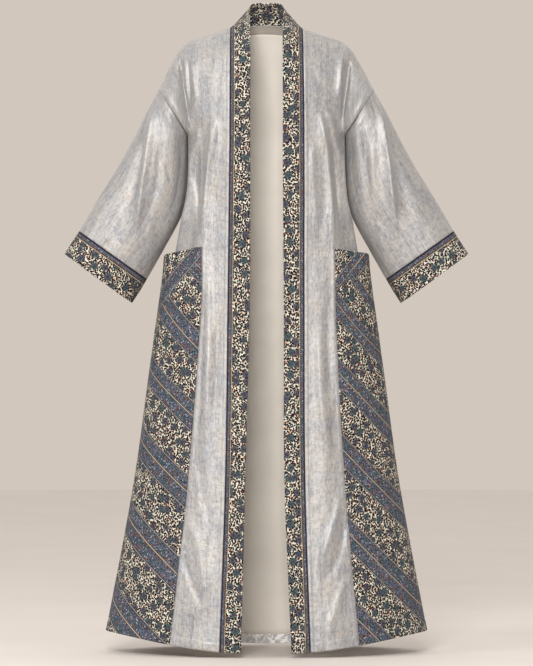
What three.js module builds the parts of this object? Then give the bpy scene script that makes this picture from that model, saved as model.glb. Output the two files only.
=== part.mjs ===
// Abaya: a long open-front robe, filled out as when it is worn, with nobody in it.
// Millimetres, +Z up. The front faces -Y and the wearer's left is +X. The origin is midway
// between the neck ends of the two shoulder seams, where the robe is held.
//
// Every panel is a grid on one smooth body surface. Its column runs from the band seam (0) to the
// side seam or armhole (1), and on the back also from the neck (0) to the centre back (-1). Its
// level runs from the hem (0) to the side panel's top (1), the underarm (2) and the shoulder
// ridge (3). What lies on a panel, or lines it, takes the same grid points moved out or in.

import * as THREE from 'three';

// Driving dimensions
const CLOTH = 2;               // wall of the body and sleeve cloth
const DOUBLED = 2.4;           // wall of the doubled strips, the bands and cuffs
const LINING = 1;              // wall of the lining, the neck tape and the turned-up hem
const SEAM = 0.4;              // gap between two pieces that are sewn edge to edge
const LAID = 0.4;              // gap between two pieces that lie on each other
const LINED = 0.7;             // gap between the grey cloth and what lines it
const COLLAR_SEAM = 1.8;       // gap between the collar's foot and the neck seam, where it turns up
const UNDERARM_Z = -240;
const HEM = { side: -1325, front: -1365, back: -1368, turned: 20 };
const PANEL_TOP = { right: { inner: -486, side: -508 }, left: { inner: -490, side: -505 } };
const ARM_DEPTH = 78;          // half of the armhole's depth, front to back
const NECK = { half: 80, depth: 82, rise: 10 };
const ROUND = 0.85;            // power of sine and cosine in the shoulder and neck curves

const RIGHT = -1;              // the wearer's right side, at -X
const LEFT = 1;
const FRONT = -1;
const BACK = 1;

// Plan of the grey body at a height: half-width at the side, depth in front and behind, and the
// power that makes the plan's corners fuller as it falls below 1
const PLAN = [
  { z: -1370, half: 358, front: 190, back: 190, corner: 0.98 },
  { z: -1325, half: 350.3, front: 187, back: 186, corner: 0.98 },
  { z: -995, half: 289, front: 153, back: 152, corner: 0.96 },
  { z: -700, half: 247.5, front: 133, back: 124, corner: 0.93 },
  { z: -600, half: 226, front: 127, back: 114, corner: 0.9 },
  { z: -495, half: 200, front: 121, back: 107, corner: 0.87 },
  { z: -420, half: 184, front: 118, back: 102, corner: 0.85 },
  { z: -385, half: 174.5, front: 118, back: 102, corner: 0.85 },
  { z: -345, half: 169.5, front: 120, back: 105, corner: 0.85 },
  { z: -300, half: 168, front: 122, back: 110, corner: 0.85 },
  { z: UNDERARM_Z, half: 172, front: 120, back: 116, corner: 0.85 },
];

// Distance of an edge from the centre, on the wearer's right and left: the band's seam, the
// band's free edge and the side panel's inner edge
const BAND_SEAM = [
  { z: -1370, right: 102.6, left: 96 },
  { z: -990, right: 90, left: 84.4 },
  { z: -600, right: 84.8, left: 82.9 },
  { z: -343, right: 82, left: 83.2 },
  { z: UNDERARM_Z, right: 80.8, left: 83 },
];
const BAND_FREE = [
  { z: -1370, right: 56, left: 54.6 },
  { z: -990, right: 46.5, left: 39.4 },
  { z: -600, right: 37, left: 38 },
  { z: -343, right: 36, left: 36.4 },
  { z: UNDERARM_Z, right: 36, left: 36 },
];
const PANEL_EDGE = [
  { z: -1370, right: 212, left: 203 },
  { z: -990, right: 170.5, left: 169.5 },
  { z: -600, right: 141, left: 149.2 },
  { z: -486, right: 138.5, left: 146.5 },
  { z: -343, right: 126, left: 136 },
  { z: UNDERARM_Z, right: 115, left: 124 },
];

// Ridge of the shoulder from the neck to the tip of the armhole, at y = 0: how far out it is, and
// its height on the wearer's right and left
const RIDGE = [
  { part: 0, x: 80, right: 0, left: -2 },
  { part: 0.2, x: 122, right: -15.5, left: -17.5 },
  { part: 0.34, x: 152, right: -24.5, left: -26 },
  { part: 0.45, x: 174, right: -34, left: -37 },
  { part: 0.54, x: 189, right: -47, left: -53 },
  { part: 0.63, x: 201, right: -66, left: -73 },
  { part: 0.74, x: 213, right: -88, left: -94 },
  { part: 1, x: 238, right: -138, left: -141 },
];

// How far the side panel stands off the body at the side: its open top is a pocket mouth
const STAND_OFF = [
  { z: -1370, out: 0 },
  { z: -720, out: 0 },
  { z: -600, out: 8 },
  { z: PANEL_TOP.right.side, out: 19.5 },
];

// Rings of a sleeve: its outer and inner edges seen from the front, and half of its depth
const SLEEVE = [
  { along: 0, outerX: 238, outerZ: -138, innerX: 172, innerZ: UNDERARM_Z, depth: ARM_DEPTH },
  { along: 1, outerX: 270.6, outerZ: -201, innerX: 172, innerZ: -318, depth: 77 },
  { along: 2, outerX: 300.3, outerZ: -259, innerX: 178, innerZ: -380, depth: 75 },
  { along: 3, outerX: 331.1, outerZ: -313.5, innerX: 191, innerZ: -424, depth: 72 },
  { along: 4, outerX: 371.8, outerZ: -379.5, innerX: 226.6, innerZ: -489.5, depth: 68 },
  { along: 5, outerX: 411.8, outerZ: -447.7, innerX: 262.7, innerZ: -553.3, depth: 64 },
  { along: 6, outerX: 444.4, outerZ: -497.2, innerX: 295.2, innerZ: -606.1, depth: 62 },
];

// Free edge of the band from the chest over the neck to the centre back, by level; past the
// ridge (3) the level goes on round the neck to the centre back (4)
const NECK_EDGE = [
  { level: 2, x: 36, y: -118.6, z: -240 },
  { level: 2.28, x: 36, y: -112, z: -121 },
  { level: 2.5, x: 36, y: -97, z: -62 },
  { level: 2.66, x: 36.3, y: -82, z: -28 },
  { level: 2.82, x: 36.8, y: -57, z: -3 },
  { level: 3, x: 37.5, y: -22, z: 16 },
  { level: 3.22, x: 38, y: 11, z: 33 },
  { level: 3.45, x: 37, y: 33, z: 47 },
  { level: 3.72, x: 29, y: 54, z: 56.5 },
  { level: 4, x: 0, y: 63, z: 59 },
  { level: 4.28, x: -29, y: 54, z: 56.5 },
];
const BAND_CURVE = [
  { level: 0, out: 1.5 },
  { level: 2.5, out: 1.5 },
  { level: 3, out: 3 },
  { level: 3.3, out: 6 },
  { level: 4, out: 3 },
];

// Largest folds: the column and height each ridge or trough passes, its rise and its half-width
const FOLDS = [
  { face: FRONT, column: 0.44, top: -150, bottom: -640, rise: 6, width: 0.14 },
  { face: FRONT, column: 0.62, top: -200, bottom: -560, rise: -6, width: 0.11 },
  { face: FRONT, column: 0.84, top: -170, bottom: -560, rise: 8, width: 0.07 },
  { face: FRONT, column: 0.22, top: -560, bottom: -1700, rise: 5, width: 0.13 },
  { face: BACK, column: 0.5, top: -230, bottom: -900, rise: 5, width: 0.16 },
  { face: BACK, column: 0.2, top: -600, bottom: -1700, rise: 6, width: 0.16 },
  { face: BACK, column: -0.1, top: -500, bottom: -1700, rise: -5, width: 0.2 },
];

// Grid lines. A row lies on the turned-up hem's edge, and one on the neck tape's lower edge
const EDGE_COLUMN = 0.45;
const COLUMNS = [0, 0.15, 0.3, EDGE_COLUMN, 0.52, 0.59, 0.66, 0.73, 0.8, 0.87, 0.93, 1];
const NECK_COLUMNS = [-0.25, -0.5, -0.75, -1];
const TURN_LEVEL = HEM.turned / (PANEL_TOP.right.inner - HEM.back);
const TAPE_LEVEL = 2.74;
const SHOULDER_SEAM = 2.82;
const SKIRT_LEVELS = [0, TURN_LEVEL, 0.14, 0.26, 0.38, 0.5, 0.62, 0.75, 0.88, 1];
const WAIST_LEVELS = [1.2, 1.4, 1.6, 1.8, 2];
const CHEST_LEVELS = [2.05, 2.14, 2.28, 2.44, 2.6, TAPE_LEVEL, SHOULDER_SEAM];
const RIDGE_LEVELS = [2.91, 3];
const COLLAR_LEVELS = [3.12, 3.24, 3.36, 3.48, 3.6, 3.72, 3.86, 4];
const SLEEVE_STEPS = [0, 0.5, 1, 1.5, 2, 2.5, 3, 3.5, 4, 4.5, 5];
const CUFF_STEPS = [5, 5.5, 6];

const GREY = { color: 0xb9b8b6, roughness: 0.7, metalness: 0 };
const PRINT = { color: 0x8f8a80, roughness: 0.75, metalness: 0 };
const PLAIN = { color: 0xc6c1b8, roughness: 0.8, metalness: 0 };

// Value of one column of a table, with a smooth curve through its rows
function follow(table, key, column, at) {
  const last = table.length - 1;
  let row = 0;
  while (row < last - 1 && at > table[row + 1][key]) row += 1;
  const from = table[row];
  const to = table[row + 1];
  const span = to[key] - from[key];
  const before = table[Math.max(row - 1, 0)];
  const after = table[Math.min(row + 2, last)];
  const slopeFrom = (to[column] - before[column]) / (to[key] - before[key]);
  const slopeTo = (after[column] - from[column]) / (after[key] - from[key]);
  const t = (at - from[key]) / span;
  const t2 = t * t;
  const t3 = t2 * t;
  return (2 * t3 - 3 * t2 + 1) * from[column] + (t3 - 2 * t2 + t) * span * slopeFrom
    + (3 * t2 - 2 * t3) * to[column] + (t3 - t2) * span * slopeTo;
}

function sideName(side) {
  return side === RIGHT ? 'right' : 'left';
}

function nodeName(name, side) {
  return `${name}_${sideName(side)}`;
}

// Angle round the plan, from the centre front or back (0) to the side (a quarter turn)
function planAngle(half, corner, x) {
  return Math.asin(Math.min(x / half, 1) ** (1 / corner));
}

function columnAngle(side, face, z, column) {
  const half = follow(PLAN, 'z', 'half', z);
  const corner = follow(PLAN, 'z', 'corner', z);
  const seam = planAngle(half, corner, follow(BAND_SEAM, 'z', sideName(side), z));
  const edge = planAngle(half, corner, follow(PANEL_EDGE, 'z', sideName(side), z));
  if (column < 0) {
    return seam * (1 + column);
  }
  if (column < EDGE_COLUMN) {
    return THREE.MathUtils.lerp(seam, edge, column / EDGE_COLUMN);
  }
  return THREE.MathUtils.lerp(edge, Math.PI / 2, (column - EDGE_COLUMN) / (1 - EDGE_COLUMN));
}

function planPoint(side, face, z, angle) {
  const half = follow(PLAN, 'z', 'half', z);
  const depth = follow(PLAN, 'z', face === FRONT ? 'front' : 'back', z);
  const corner = follow(PLAN, 'z', 'corner', z);
  const across = Math.max(Math.sin(angle), 0) ** corner;
  const deep = Math.max(Math.cos(angle), 0) ** corner;
  return new THREE.Vector3(side * half * across, face * depth * deep, z);
}

function hemHeight(face, angle) {
  const middle = face === FRONT ? HEM.front : HEM.back;
  return THREE.MathUtils.lerp(HEM.side, middle, Math.max(Math.cos(angle), 0) ** 3);
}

// Body below the underarm, before its folds
function skirtPoint(side, face, column, level) {
  const hemAngle = columnAngle(side, face, HEM.side, column);
  const hem = hemHeight(face, hemAngle);
  const sideward = THREE.MathUtils.smoothstep(column, EDGE_COLUMN, 1);
  const top = PANEL_TOP[sideName(side)];
  const panelTop = THREE.MathUtils.lerp(top.inner, top.side, sideward);
  const z = level < 1
    ? THREE.MathUtils.lerp(hem, panelTop, level)
    : THREE.MathUtils.lerp(panelTop, UNDERARM_Z, level - 1);
  return planPoint(side, face, z, columnAngle(side, face, z, column));
}

function ridgePoint(side, column) {
  const edgePart = 0.2;
  const part = column < EDGE_COLUMN
    ? edgePart * column / EDGE_COLUMN
    : THREE.MathUtils.lerp(edgePart, 1, (column - EDGE_COLUMN) / (1 - EDGE_COLUMN));
  const x = follow(RIDGE, 'part', 'x', part);
  const z = follow(RIDGE, 'part', sideName(side), part);
  return new THREE.Vector3(side * x, 0, z);
}

// Seam of the collar behind the neck, from the ridge (0) to the centre back (1)
function neckPoint(side, round) {
  const angle = round * Math.PI / 2;
  const x = NECK.half * Math.sign(Math.cos(angle)) * Math.abs(Math.cos(angle)) ** ROUND;
  const y = NECK.depth * Math.sin(angle) ** ROUND;
  const start = follow(RIDGE, 'part', sideName(side), 0);
  return new THREE.Vector3(side * x, y, THREE.MathUtils.lerp(start, NECK.rise, round));
}

// Body above the underarm, before its folds
function chestPoint(side, face, column, level) {
  const angle = (level - 2) * Math.PI / 2;
  const rise = Math.sin(angle) ** ROUND;
  const drop = Math.max(Math.cos(angle), 0) ** ROUND;
  const low = planPoint(side, face, UNDERARM_Z, columnAngle(side, face, UNDERARM_Z, column));
  if (column < 0) {
    const high = neckPoint(side, -column);
    const nape = THREE.MathUtils.lerp(drop, (1 - Math.min(rise, 1) ** 2) ** 0.8, -column);
    const y = high.y + (low.y - high.y) * nape;
    const x = THREE.MathUtils.lerp(low.x, high.x, rise);
    return new THREE.Vector3(x, y, THREE.MathUtils.lerp(UNDERARM_Z, high.z, rise));
  }
  const high = ridgePoint(side, column);
  const arm = THREE.MathUtils.smoothstep(column, 0.66, 1);
  const oval = Math.max(4 * rise * (1 - rise), 0) ** THREE.MathUtils.lerp(1.3, 0.5, arm);
  const y = low.y * drop + face * ARM_DEPTH * arm * oval;
  const lean = rise ** THREE.MathUtils.lerp(1.5, 1, column);
  const x = THREE.MathUtils.lerp(low.x, high.x, lean);
  return new THREE.Vector3(x, y, THREE.MathUtils.lerp(UNDERARM_Z, high.z, rise));
}

// A back level above 3 runs over the ridge and down the front of the shoulder
function smoothBody(side, face, column, level) {
  if (level > 3) {
    return smoothBody(side, FRONT, column, 6 - level);
  }
  return level < 2 ? skirtPoint(side, face, column, level) : chestPoint(side, face, column, level);
}

// Unit normal of a surface of two parameters, the mean of the four quarters round the point
function normalAt(surface, a, b, limits) {
  const step = 0.004;
  const here = surface(a, b);
  const sum = new THREE.Vector3();
  for (const stepA of [-step, step]) {
    for (const stepB of [-step, step]) {
      const nextA = a + stepA;
      const nextB = b + stepB;
      if (nextA < limits.a[0] || nextA > limits.a[1] || nextB < limits.b[0] || nextB > limits.b[1]) continue;
      const alongA = surface(nextA, b).sub(here).multiplyScalar(stepA);
      const alongB = surface(a, nextB).sub(here).multiplyScalar(stepB);
      sum.add(alongA.cross(alongB).normalize());
    }
  }
  return sum.normalize();
}

function foldRise(face, column, z) {
  let rise = 0;
  for (const fold of FOLDS) {
    if (fold.face !== face || z > fold.top || z < fold.bottom) continue;
    const along = Math.sin(Math.PI * (z - fold.bottom) / (fold.top - fold.bottom));
    const across = (column - fold.column) / fold.width;
    rise += fold.rise * along * Math.exp(-across * across);
  }
  return rise;
}

// Point on the grey body with its folds, moved out by `out`
function bodyPoint(side, face, column, level, out) {
  const overRidge = face === BACK && column >= 0;
  const limits = { a: [face === BACK && level < 3 ? -1 : 0, 1], b: [0, overRidge ? 3.3 : 3] };
  if (column < 0) {
    limits.a[0] = -1;
  }
  const smooth = (a, b) => smoothBody(side, face, a, b);
  const point = smooth(column, level);
  const normal = normalAt(smooth, column, level, limits).multiplyScalar(-side * face);
  const faceHere = level > 3 ? FRONT : face;
  return point.addScaledVector(normal, out + foldRise(faceHere, column, point.z));
}

// Closed wall of cloth through a grid of outer points, with `wall` of thickness inward
function clothGeometry(outer, inner, keep, wraps) {
  const columns = outer.length;
  const rows = outer[0].length;
  const positions = [];
  for (const grid of [outer, inner]) {
    for (const line of grid) {
      for (const point of line) positions.push(point.x, point.y, point.z);
    }
  }
  const index = (layer, i, j) => (layer * columns + (i % columns)) * rows + j;
  const faces = [];
  const rim = new Map();
  const cells = wraps ? columns : columns - 1;
  for (let i = 0; i < cells; i += 1) {
    for (let j = 0; j < rows - 1; j += 1) {
      if (!keep(i, j)) continue;
      const corners = [[i, j], [i + 1, j], [i + 1, j + 1], [i, j + 1]];
      const [a, b, c, d] = corners.map(([p, q]) => index(0, p, q));
      const [e, f, g, h] = corners.map(([p, q]) => index(1, p, q));
      faces.push(a, b, c, a, c, d, e, g, f, e, h, g);
      for (const [from, to] of [[a, b], [b, c], [c, d], [d, a]]) {
        if (!rim.delete(`${to},${from}`)) rim.set(`${from},${to}`, [from, to]);
      }
    }
  }
  const below = columns * rows;
  for (const [from, to] of rim.values()) {
    faces.push(from, to + below, to, from, from + below, to + below);
  }
  const geometry = new THREE.BufferGeometry();
  geometry.setAttribute('position', new THREE.Float32BufferAttribute(positions, 3));
  geometry.setIndex(faces);
  return geometry;
}

// Six times the volume that a triangle mesh encloses: negative where its faces point inward
function signedVolume(geometry) {
  const position = geometry.getAttribute('position');
  const index = geometry.getIndex();
  const [a, b, c] = [new THREE.Vector3(), new THREE.Vector3(), new THREE.Vector3()];
  let volume = 0;
  for (let corner = 0; corner < index.count; corner += 3) {
    a.fromBufferAttribute(position, index.getX(corner));
    b.fromBufferAttribute(position, index.getX(corner + 1));
    c.fromBufferAttribute(position, index.getX(corner + 2));
    volume += a.dot(b.cross(c));
  }
  return volume;
}

function clothMesh(name, look, outer, inner, keep = () => true, wraps = false) {
  const geometry = clothGeometry(outer, inner, keep, wraps);
  if (signedVolume(geometry) < 0) {
    const order = geometry.getIndex();
    for (let corner = 0; corner < order.count; corner += 3) {
      const second = order.getX(corner + 1);
      order.setX(corner + 1, order.getX(corner + 2));
      order.setX(corner + 2, second);
    }
  }
  geometry.computeVertexNormals();
  const mesh = new THREE.Mesh(geometry, new THREE.MeshStandardMaterial(look));
  mesh.name = name;
  return mesh;
}

// Move the first or last line of a grid in by `distance` towards its neighbour
function trimGrid(grid, side, distance) {
  const last = grid.length - 1;
  const lastRow = grid[0].length - 1;
  const shift = (edge, next) => edge.addScaledVector(next.clone().sub(edge).normalize(), distance);
  if (side === 'first') {
    grid[0].forEach((point, row) => shift(point, grid[1][row]));
  }
  if (side === 'last') {
    grid[last].forEach((point, row) => shift(point, grid[last - 1][row]));
  }
  if (side === 'bottom') {
    grid.forEach((line) => shift(line[0], line[1]));
  }
  if (side === 'top') {
    grid.forEach((line) => shift(line[lastRow], line[lastRow - 1]));
  }
}

// Grid of body points over a list of lines, each { side, face, column }, and a list of levels
function bodyGrid(lines, levels, out) {
  return lines.map(({ side, face, column }) => levels.map((level) => {
    const amount = typeof out === 'function' ? out(side, face, column, level) : out;
    return bodyPoint(side, face, column, level, amount);
  }));
}

function bodyPanel(name, look, lines, levels, layer, trims = [], keep = undefined) {
  const { lift, wall } = layer;
  const top = typeof lift === 'function' ? lift : () => lift;
  const outer = bodyGrid(lines, levels, top);
  const inner = bodyGrid(lines, levels, (...where) => top(...where) - wall);
  for (const trim of trims) {
    trimGrid(outer, trim, SEAM / 2);
    trimGrid(inner, trim, SEAM / 2);
  }
  return clothMesh(name, look, outer, inner, keep);
}

function backLines() {
  const outward = (side) => COLUMNS.map((column) => ({ side, face: BACK, column }));
  const neck = (side) => NECK_COLUMNS.map((column) => ({ side, face: BACK, column }));
  const centre = NECK_COLUMNS.length - 1;
  return [
    ...outward(RIGHT).reverse(), ...neck(RIGHT).slice(0, centre),
    ...neck(LEFT).reverse(), ...outward(LEFT),
  ];
}

// Each front is cut in one piece. It is parted by a hairline at the side panel's top, so that the
// hulls of a shorter solid follow its curves
function front(side) {
  const lines = COLUMNS.map((column) => ({ side, face: FRONT, column }));
  const upper = [1, ...WAIST_LEVELS, ...CHEST_LEVELS];
  const layer = { lift: 0, wall: CLOTH };
  return [
    bodyPanel(nodeName('front', side), GREY, lines, upper, layer, ['last', 'bottom', 'top']),
    bodyPanel(nodeName('front_skirt', side), GREY, lines, SKIRT_LEVELS, layer, ['last', 'top']),
  ];
}

function back() {
  const overRidge = [6 - 2.91, 6 - SHOULDER_SEAM];
  const levels = [...SKIRT_LEVELS, ...WAIST_LEVELS, ...CHEST_LEVELS, ...RIDGE_LEVELS, ...overRidge];
  const lines = backLines();
  const ridgeRow = levels.indexOf(3);
  const isShoulder = (i) => lines[i].column >= 0 && lines[i + 1].column >= 0;
  const keep = (i, j) => j < ridgeRow || isShoulder(i);
  return bodyPanel('back', GREY, lines, levels, { lift: 0, wall: CLOTH }, ['first', 'last', 'top'], keep);
}

function backLining() {
  const levels = [...SKIRT_LEVELS.slice(1), ...WAIST_LEVELS, ...CHEST_LEVELS.slice(0, -1)];
  const lift = (side, face, column, level) => -CLOTH - LINED - (level >= 2 ? Math.max(column, 0) : 0);
  const layer = { lift, wall: LINING };
  return bodyPanel('back_lining', PLAIN, backLines(), levels, layer, ['first', 'last', 'bottom', 'top']);
}

function backHemTurnup() {
  const layer = { lift: -CLOTH - LINED, wall: LINING };
  const trims = ['first', 'last', 'bottom', 'top'];
  return bodyPanel('back_hem_turnup', GREY, backLines(), SKIRT_LEVELS.slice(0, 2), layer, trims);
}

function neckTape() {
  const lines = backLines().filter(({ column }) => column < 0);
  const levels = [TAPE_LEVEL, SHOULDER_SEAM, ...RIDGE_LEVELS];
  const layer = { lift: -CLOTH - LINED, wall: LINING };
  return bodyPanel('neck_tape', PLAIN, lines, levels, layer, ['bottom', 'top']);
}

// Laid on front and back at the hip, from a free edge in front round the side to one behind
function sidePanel(side) {
  const columns = COLUMNS.filter((column) => column >= EDGE_COLUMN);
  const lines = [
    ...columns.map((column) => ({ side, face: FRONT, column })),
    ...columns.slice(0, -1).reverse().map((column) => ({ side, face: BACK, column })),
  ];
  const lift = (ownSide, face, column, level) => {
    const z = skirtPoint(ownSide, face, column, level).z;
    const sideward = THREE.MathUtils.smoothstep(column, EDGE_COLUMN, 1);
    return LAID + CLOTH + Math.max(follow(STAND_OFF, 'z', 'out', z), 0) * sideward;
  };
  return bodyPanel(nodeName('side_panel', side), PRINT, lines, SKIRT_LEVELS, { lift, wall: CLOTH });
}

// Point on a sleeve. `round` runs over the front from the inner edge (0) to the outer (1) and
// back under the other face (2), and `along` from the armhole to the cuff's edge
function sleevePoint(side, round, along) {
  const level = round < 1 ? round : 2 - round;
  const face = round < 1 ? FRONT : BACK;
  const rise = Math.sin(level * Math.PI / 2) ** ROUND;
  const deep = follow(SLEEVE, 'along', 'depth', along) * Math.max(4 * rise * (1 - rise), 0) ** 0.5;
  const step = (name) => follow(SLEEVE, 'along', name, along);
  const tipZ = follow(RIDGE, 'part', sideName(side), 1);
  const fall = (tipZ - SLEEVE[0].outerZ) * Math.max(1 - along, 0);
  const x = THREE.MathUtils.lerp(step('innerX'), step('outerX'), rise);
  const z = THREE.MathUtils.lerp(step('innerZ'), step('outerZ') + fall, rise);
  return new THREE.Vector3(side * x, face * deep, z);
}

function sleeveTube(name, look, side, steps, wall, trims) {
  const levels = [2, ...CHEST_LEVELS, ...RIDGE_LEVELS].map((level) => level - 2);
  const rounds = [...levels, ...levels.slice(1, -1).reverse().map((level) => 2 - level)];
  const surface = (a, b) => sleevePoint(side, (a + 2) % 2, b);
  const limits = { a: [-1, 3], b: [0, 6] };
  const grid = (out) => rounds.map((round) => steps.map((along) => {
    const normal = normalAt(surface, round, along, limits).multiplyScalar(-side);
    return surface(round, along).addScaledVector(normal, out);
  }));
  const outer = grid(0);
  const inner = grid(-wall);
  for (const trim of trims) {
    trimGrid(outer, trim, SEAM);
    trimGrid(inner, trim, SEAM);
  }
  return clothMesh(nodeName(name, side), look, outer, inner, () => true, true);
}

function sleeve(side) {
  return sleeveTube('sleeve', GREY, side, SLEEVE_STEPS, CLOTH, ['bottom']);
}

function cuff(side) {
  return sleeveTube('cuff', PRINT, side, CUFF_STEPS, DOUBLED, ['bottom']);
}

// Point on a band, `across` from its seam (0) to its free edge (1)
function bandPoint(side, across, level) {
  const seam = level < 3 ? smoothBody(side, FRONT, 0, level) : neckPoint(side, level - 3);
  let free;
  if (level < 2) {
    const half = follow(PLAN, 'z', 'half', seam.z);
    const corner = follow(PLAN, 'z', 'corner', seam.z);
    const edge = follow(BAND_FREE, 'z', sideName(side), seam.z);
    const angle = planAngle(half, corner, edge);
    const drop = (hemHeight(FRONT, angle) - HEM.front) * (1 - level / 2);
    free = planPoint(side, FRONT, seam.z, angle);
    free.z -= Math.min(drop, 5);
  } else {
    const at = (name) => follow(NECK_EDGE, 'level', name, level);
    free = new THREE.Vector3(side * at('x'), at('y'), at('z'));
  }
  const chord = free.clone().sub(seam);
  const turned = THREE.MathUtils.smoothstep(level, 2.8, 3.1);
  const start = THREE.MathUtils.lerp(SEAM, COLLAR_SEAM, turned) / chord.length();
  const point = seam.addScaledVector(chord, THREE.MathUtils.lerp(start, 1, across));
  const bulge = follow(BAND_CURVE, 'level', 'out', level) * 4 * across * (1 - across);
  const outward = new THREE.Vector3(point.x, level < 3 ? -Math.abs(point.y) : point.y, 0).normalize();
  return point.addScaledVector(outward, bulge);
}

function bandStrip(name, side, levels, trims) {
  const surface = (a, b) => bandPoint(side, a, b);
  const limits = { a: [0, 1], b: [0, 4.1] };
  const grid = (out) => [0, 0.5, 1].map((across) => levels.map((level) => {
    const normal = normalAt(surface, across, level, limits).multiplyScalar(-side);
    return surface(across, level).addScaledVector(normal, out);
  }));
  const outer = grid(0);
  const inner = grid(-DOUBLED);
  for (const trim of trims) {
    trimGrid(outer, trim, SEAM / 2);
    trimGrid(inner, trim, SEAM / 2);
  }
  return clothMesh(nodeName(name, side), PRINT, outer, inner);
}

// Each band is one strip from the hem to the centre back, parted in the same way at the underarm
// and the shoulder ridge
function frontBand(side) {
  const shoulder = [2, ...CHEST_LEVELS, ...RIDGE_LEVELS];
  return [
    bandStrip('front_band', side, [...SKIRT_LEVELS, ...WAIST_LEVELS], ['top']),
    bandStrip('shoulder_band', side, shoulder, ['bottom', 'top']),
    bandStrip('collar', side, [3, ...COLLAR_LEVELS], ['bottom', 'top']),
  ];
}

const abaya = new THREE.Group();
abaya.add(back(), backLining(), backHemTurnup(), neckTape());
for (const side of [RIGHT, LEFT]) {
  abaya.add(...front(side), sleeve(side), cuff(side), ...frontBand(side), sidePanel(side));
}

export default abaya;
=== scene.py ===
# Abaya: the looks of a long open-front robe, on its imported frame.
# Tables and lengths are in millimetres and match the solids; meshes are made in metres. The front
# faces -Y and the wearer's left is +X. Each piece is a fine grid on the same body surface that the
# solids use, with its folds, seams and stitches added.
#
# A column of that surface runs from the band's seam (0) to the side seam (1), and behind it also runs
# from the collar's seam (0) to the centre back (-1). A level runs from the hem (0) by the top of the
# side panels (1) and the underarm (2) to the ridge of the shoulder (3).

import itertools
import math

import bpy
import numpy as np
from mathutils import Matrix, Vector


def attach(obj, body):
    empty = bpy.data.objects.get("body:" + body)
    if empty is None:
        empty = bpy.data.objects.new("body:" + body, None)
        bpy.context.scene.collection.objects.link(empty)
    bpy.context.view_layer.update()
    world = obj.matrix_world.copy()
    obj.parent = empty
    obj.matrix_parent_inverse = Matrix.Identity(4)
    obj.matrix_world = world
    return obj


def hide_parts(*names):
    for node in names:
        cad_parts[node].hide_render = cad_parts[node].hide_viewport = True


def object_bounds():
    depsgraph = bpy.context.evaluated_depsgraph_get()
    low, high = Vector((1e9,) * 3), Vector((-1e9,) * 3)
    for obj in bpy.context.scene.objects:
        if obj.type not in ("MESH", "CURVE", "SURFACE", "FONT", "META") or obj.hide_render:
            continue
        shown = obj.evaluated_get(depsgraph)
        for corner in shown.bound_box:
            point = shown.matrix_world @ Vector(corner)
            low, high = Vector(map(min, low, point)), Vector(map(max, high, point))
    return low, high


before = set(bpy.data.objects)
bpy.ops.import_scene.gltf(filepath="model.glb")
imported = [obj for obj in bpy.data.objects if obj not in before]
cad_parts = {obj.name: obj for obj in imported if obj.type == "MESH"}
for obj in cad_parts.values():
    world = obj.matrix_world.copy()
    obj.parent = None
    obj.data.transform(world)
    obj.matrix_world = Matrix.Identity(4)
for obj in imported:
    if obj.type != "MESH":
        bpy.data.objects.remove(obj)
cad_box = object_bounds()

# Driving dimensions
CLOTH = 1.6              # thickness of the body and sleeve cloth
DOUBLED = 2.4            # thickness of the bands and cuffs, which are doubled
LINING = 0.9             # thickness of the lining, the neck tape and the turned-up hem
SOLID_CLOTH = 2.0        # wall of the solids' body cloth, on which the laid pieces lie
LAID = 0.4               # gap between two pieces that lie on each other
LINED = 0.7              # gap between the back and the pieces inside it
EDGE_BULGE = 0.3         # how far a piece's edge is rounded out, as a share of its wall
SEAM = 0.2               # half of the gap between two pieces that are sewn edge to edge
COLLAR_SEAM = 1.8        # gap at the collar's foot, where the band turns up
UNDERARM_Z = -240.0      # height of the underarm
HEM = {"side": -1325.0, "front": -1365.0, "back": -1368.0, "turned": 20.0}
PANEL_TOP = {"right": {"inner": -486.0, "side": -508.0}, "left": {"inner": -490.0, "side": -505.0}}
ARM_DEPTH = 78.0         # half of the armhole's depth
NECK = {"half": 80.0, "depth": 82.0, "rise": 10.0}
ROUND = 0.85             # power of the rounded sections: 1 is an ellipse, less is squarer
EDGE_COLUMN = 0.45       # column of the side panel's inner edge
TURN_LEVEL = HEM["turned"] / (PANEL_TOP["right"]["inner"] - HEM["back"])
TAPE_LEVEL = 2.74        # level of the neck tape's lower edge
SHOULDER_SEAM = 2.82     # level of the seam between front and back on the shoulder

# Width, length and area that each piece is cut to, in metres
CUT = {
    "back": (0.88, 1.45, 0.84),
    "back_lining": (0.86, 1.36, 0.78),
    "back_hem": (0.87, 0.02, 0.0165),
    "neck_tape": (0.24, 0.013, 0.003),
    "front": (0.34, 1.43, 0.29),
    "sleeve": (0.47, 0.42, 0.155),
    "cuff": (0.48, 0.06, 0.028),
    "band": (0.047, 1.54, 0.071),
    "side_panel": (0.5, 0.88, 0.3),
}

# Sewing: how far in from an edge each row of stitches lies, and the sizes of a stitch
TOPSTITCH = 8.0
STITCHED_IN = {"panel": 2.0, "beside_panel": 4.5, "shoulder": 5.0, "lining": 3.0, "tape": 1.8}
THREAD = {"wide": 0.3, "high": 0.22, "raised": 0.12, "sunk": 0.15, "length": 2.9, "gap": 1.0}
# A seam's groove, a folded edge's ridge and the dip of a row of stitches
GROOVE = {"rise": -0.6, "width": 1.5}
FOLDED = {"rise": 0.9, "soft": 1.5}
DIP = {"rise": -0.6, "width": 1.2}
# Height of the soft ripples between the creases, broad and fine
RIPPLE = {"body": (0.8, 0.35), "low": 0.9, "hem": 0.6, "sleeve": (0.5, 0.25), "cuff": 0.5}
BAND_RIPPLE = (0.5, 0.35)

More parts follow.
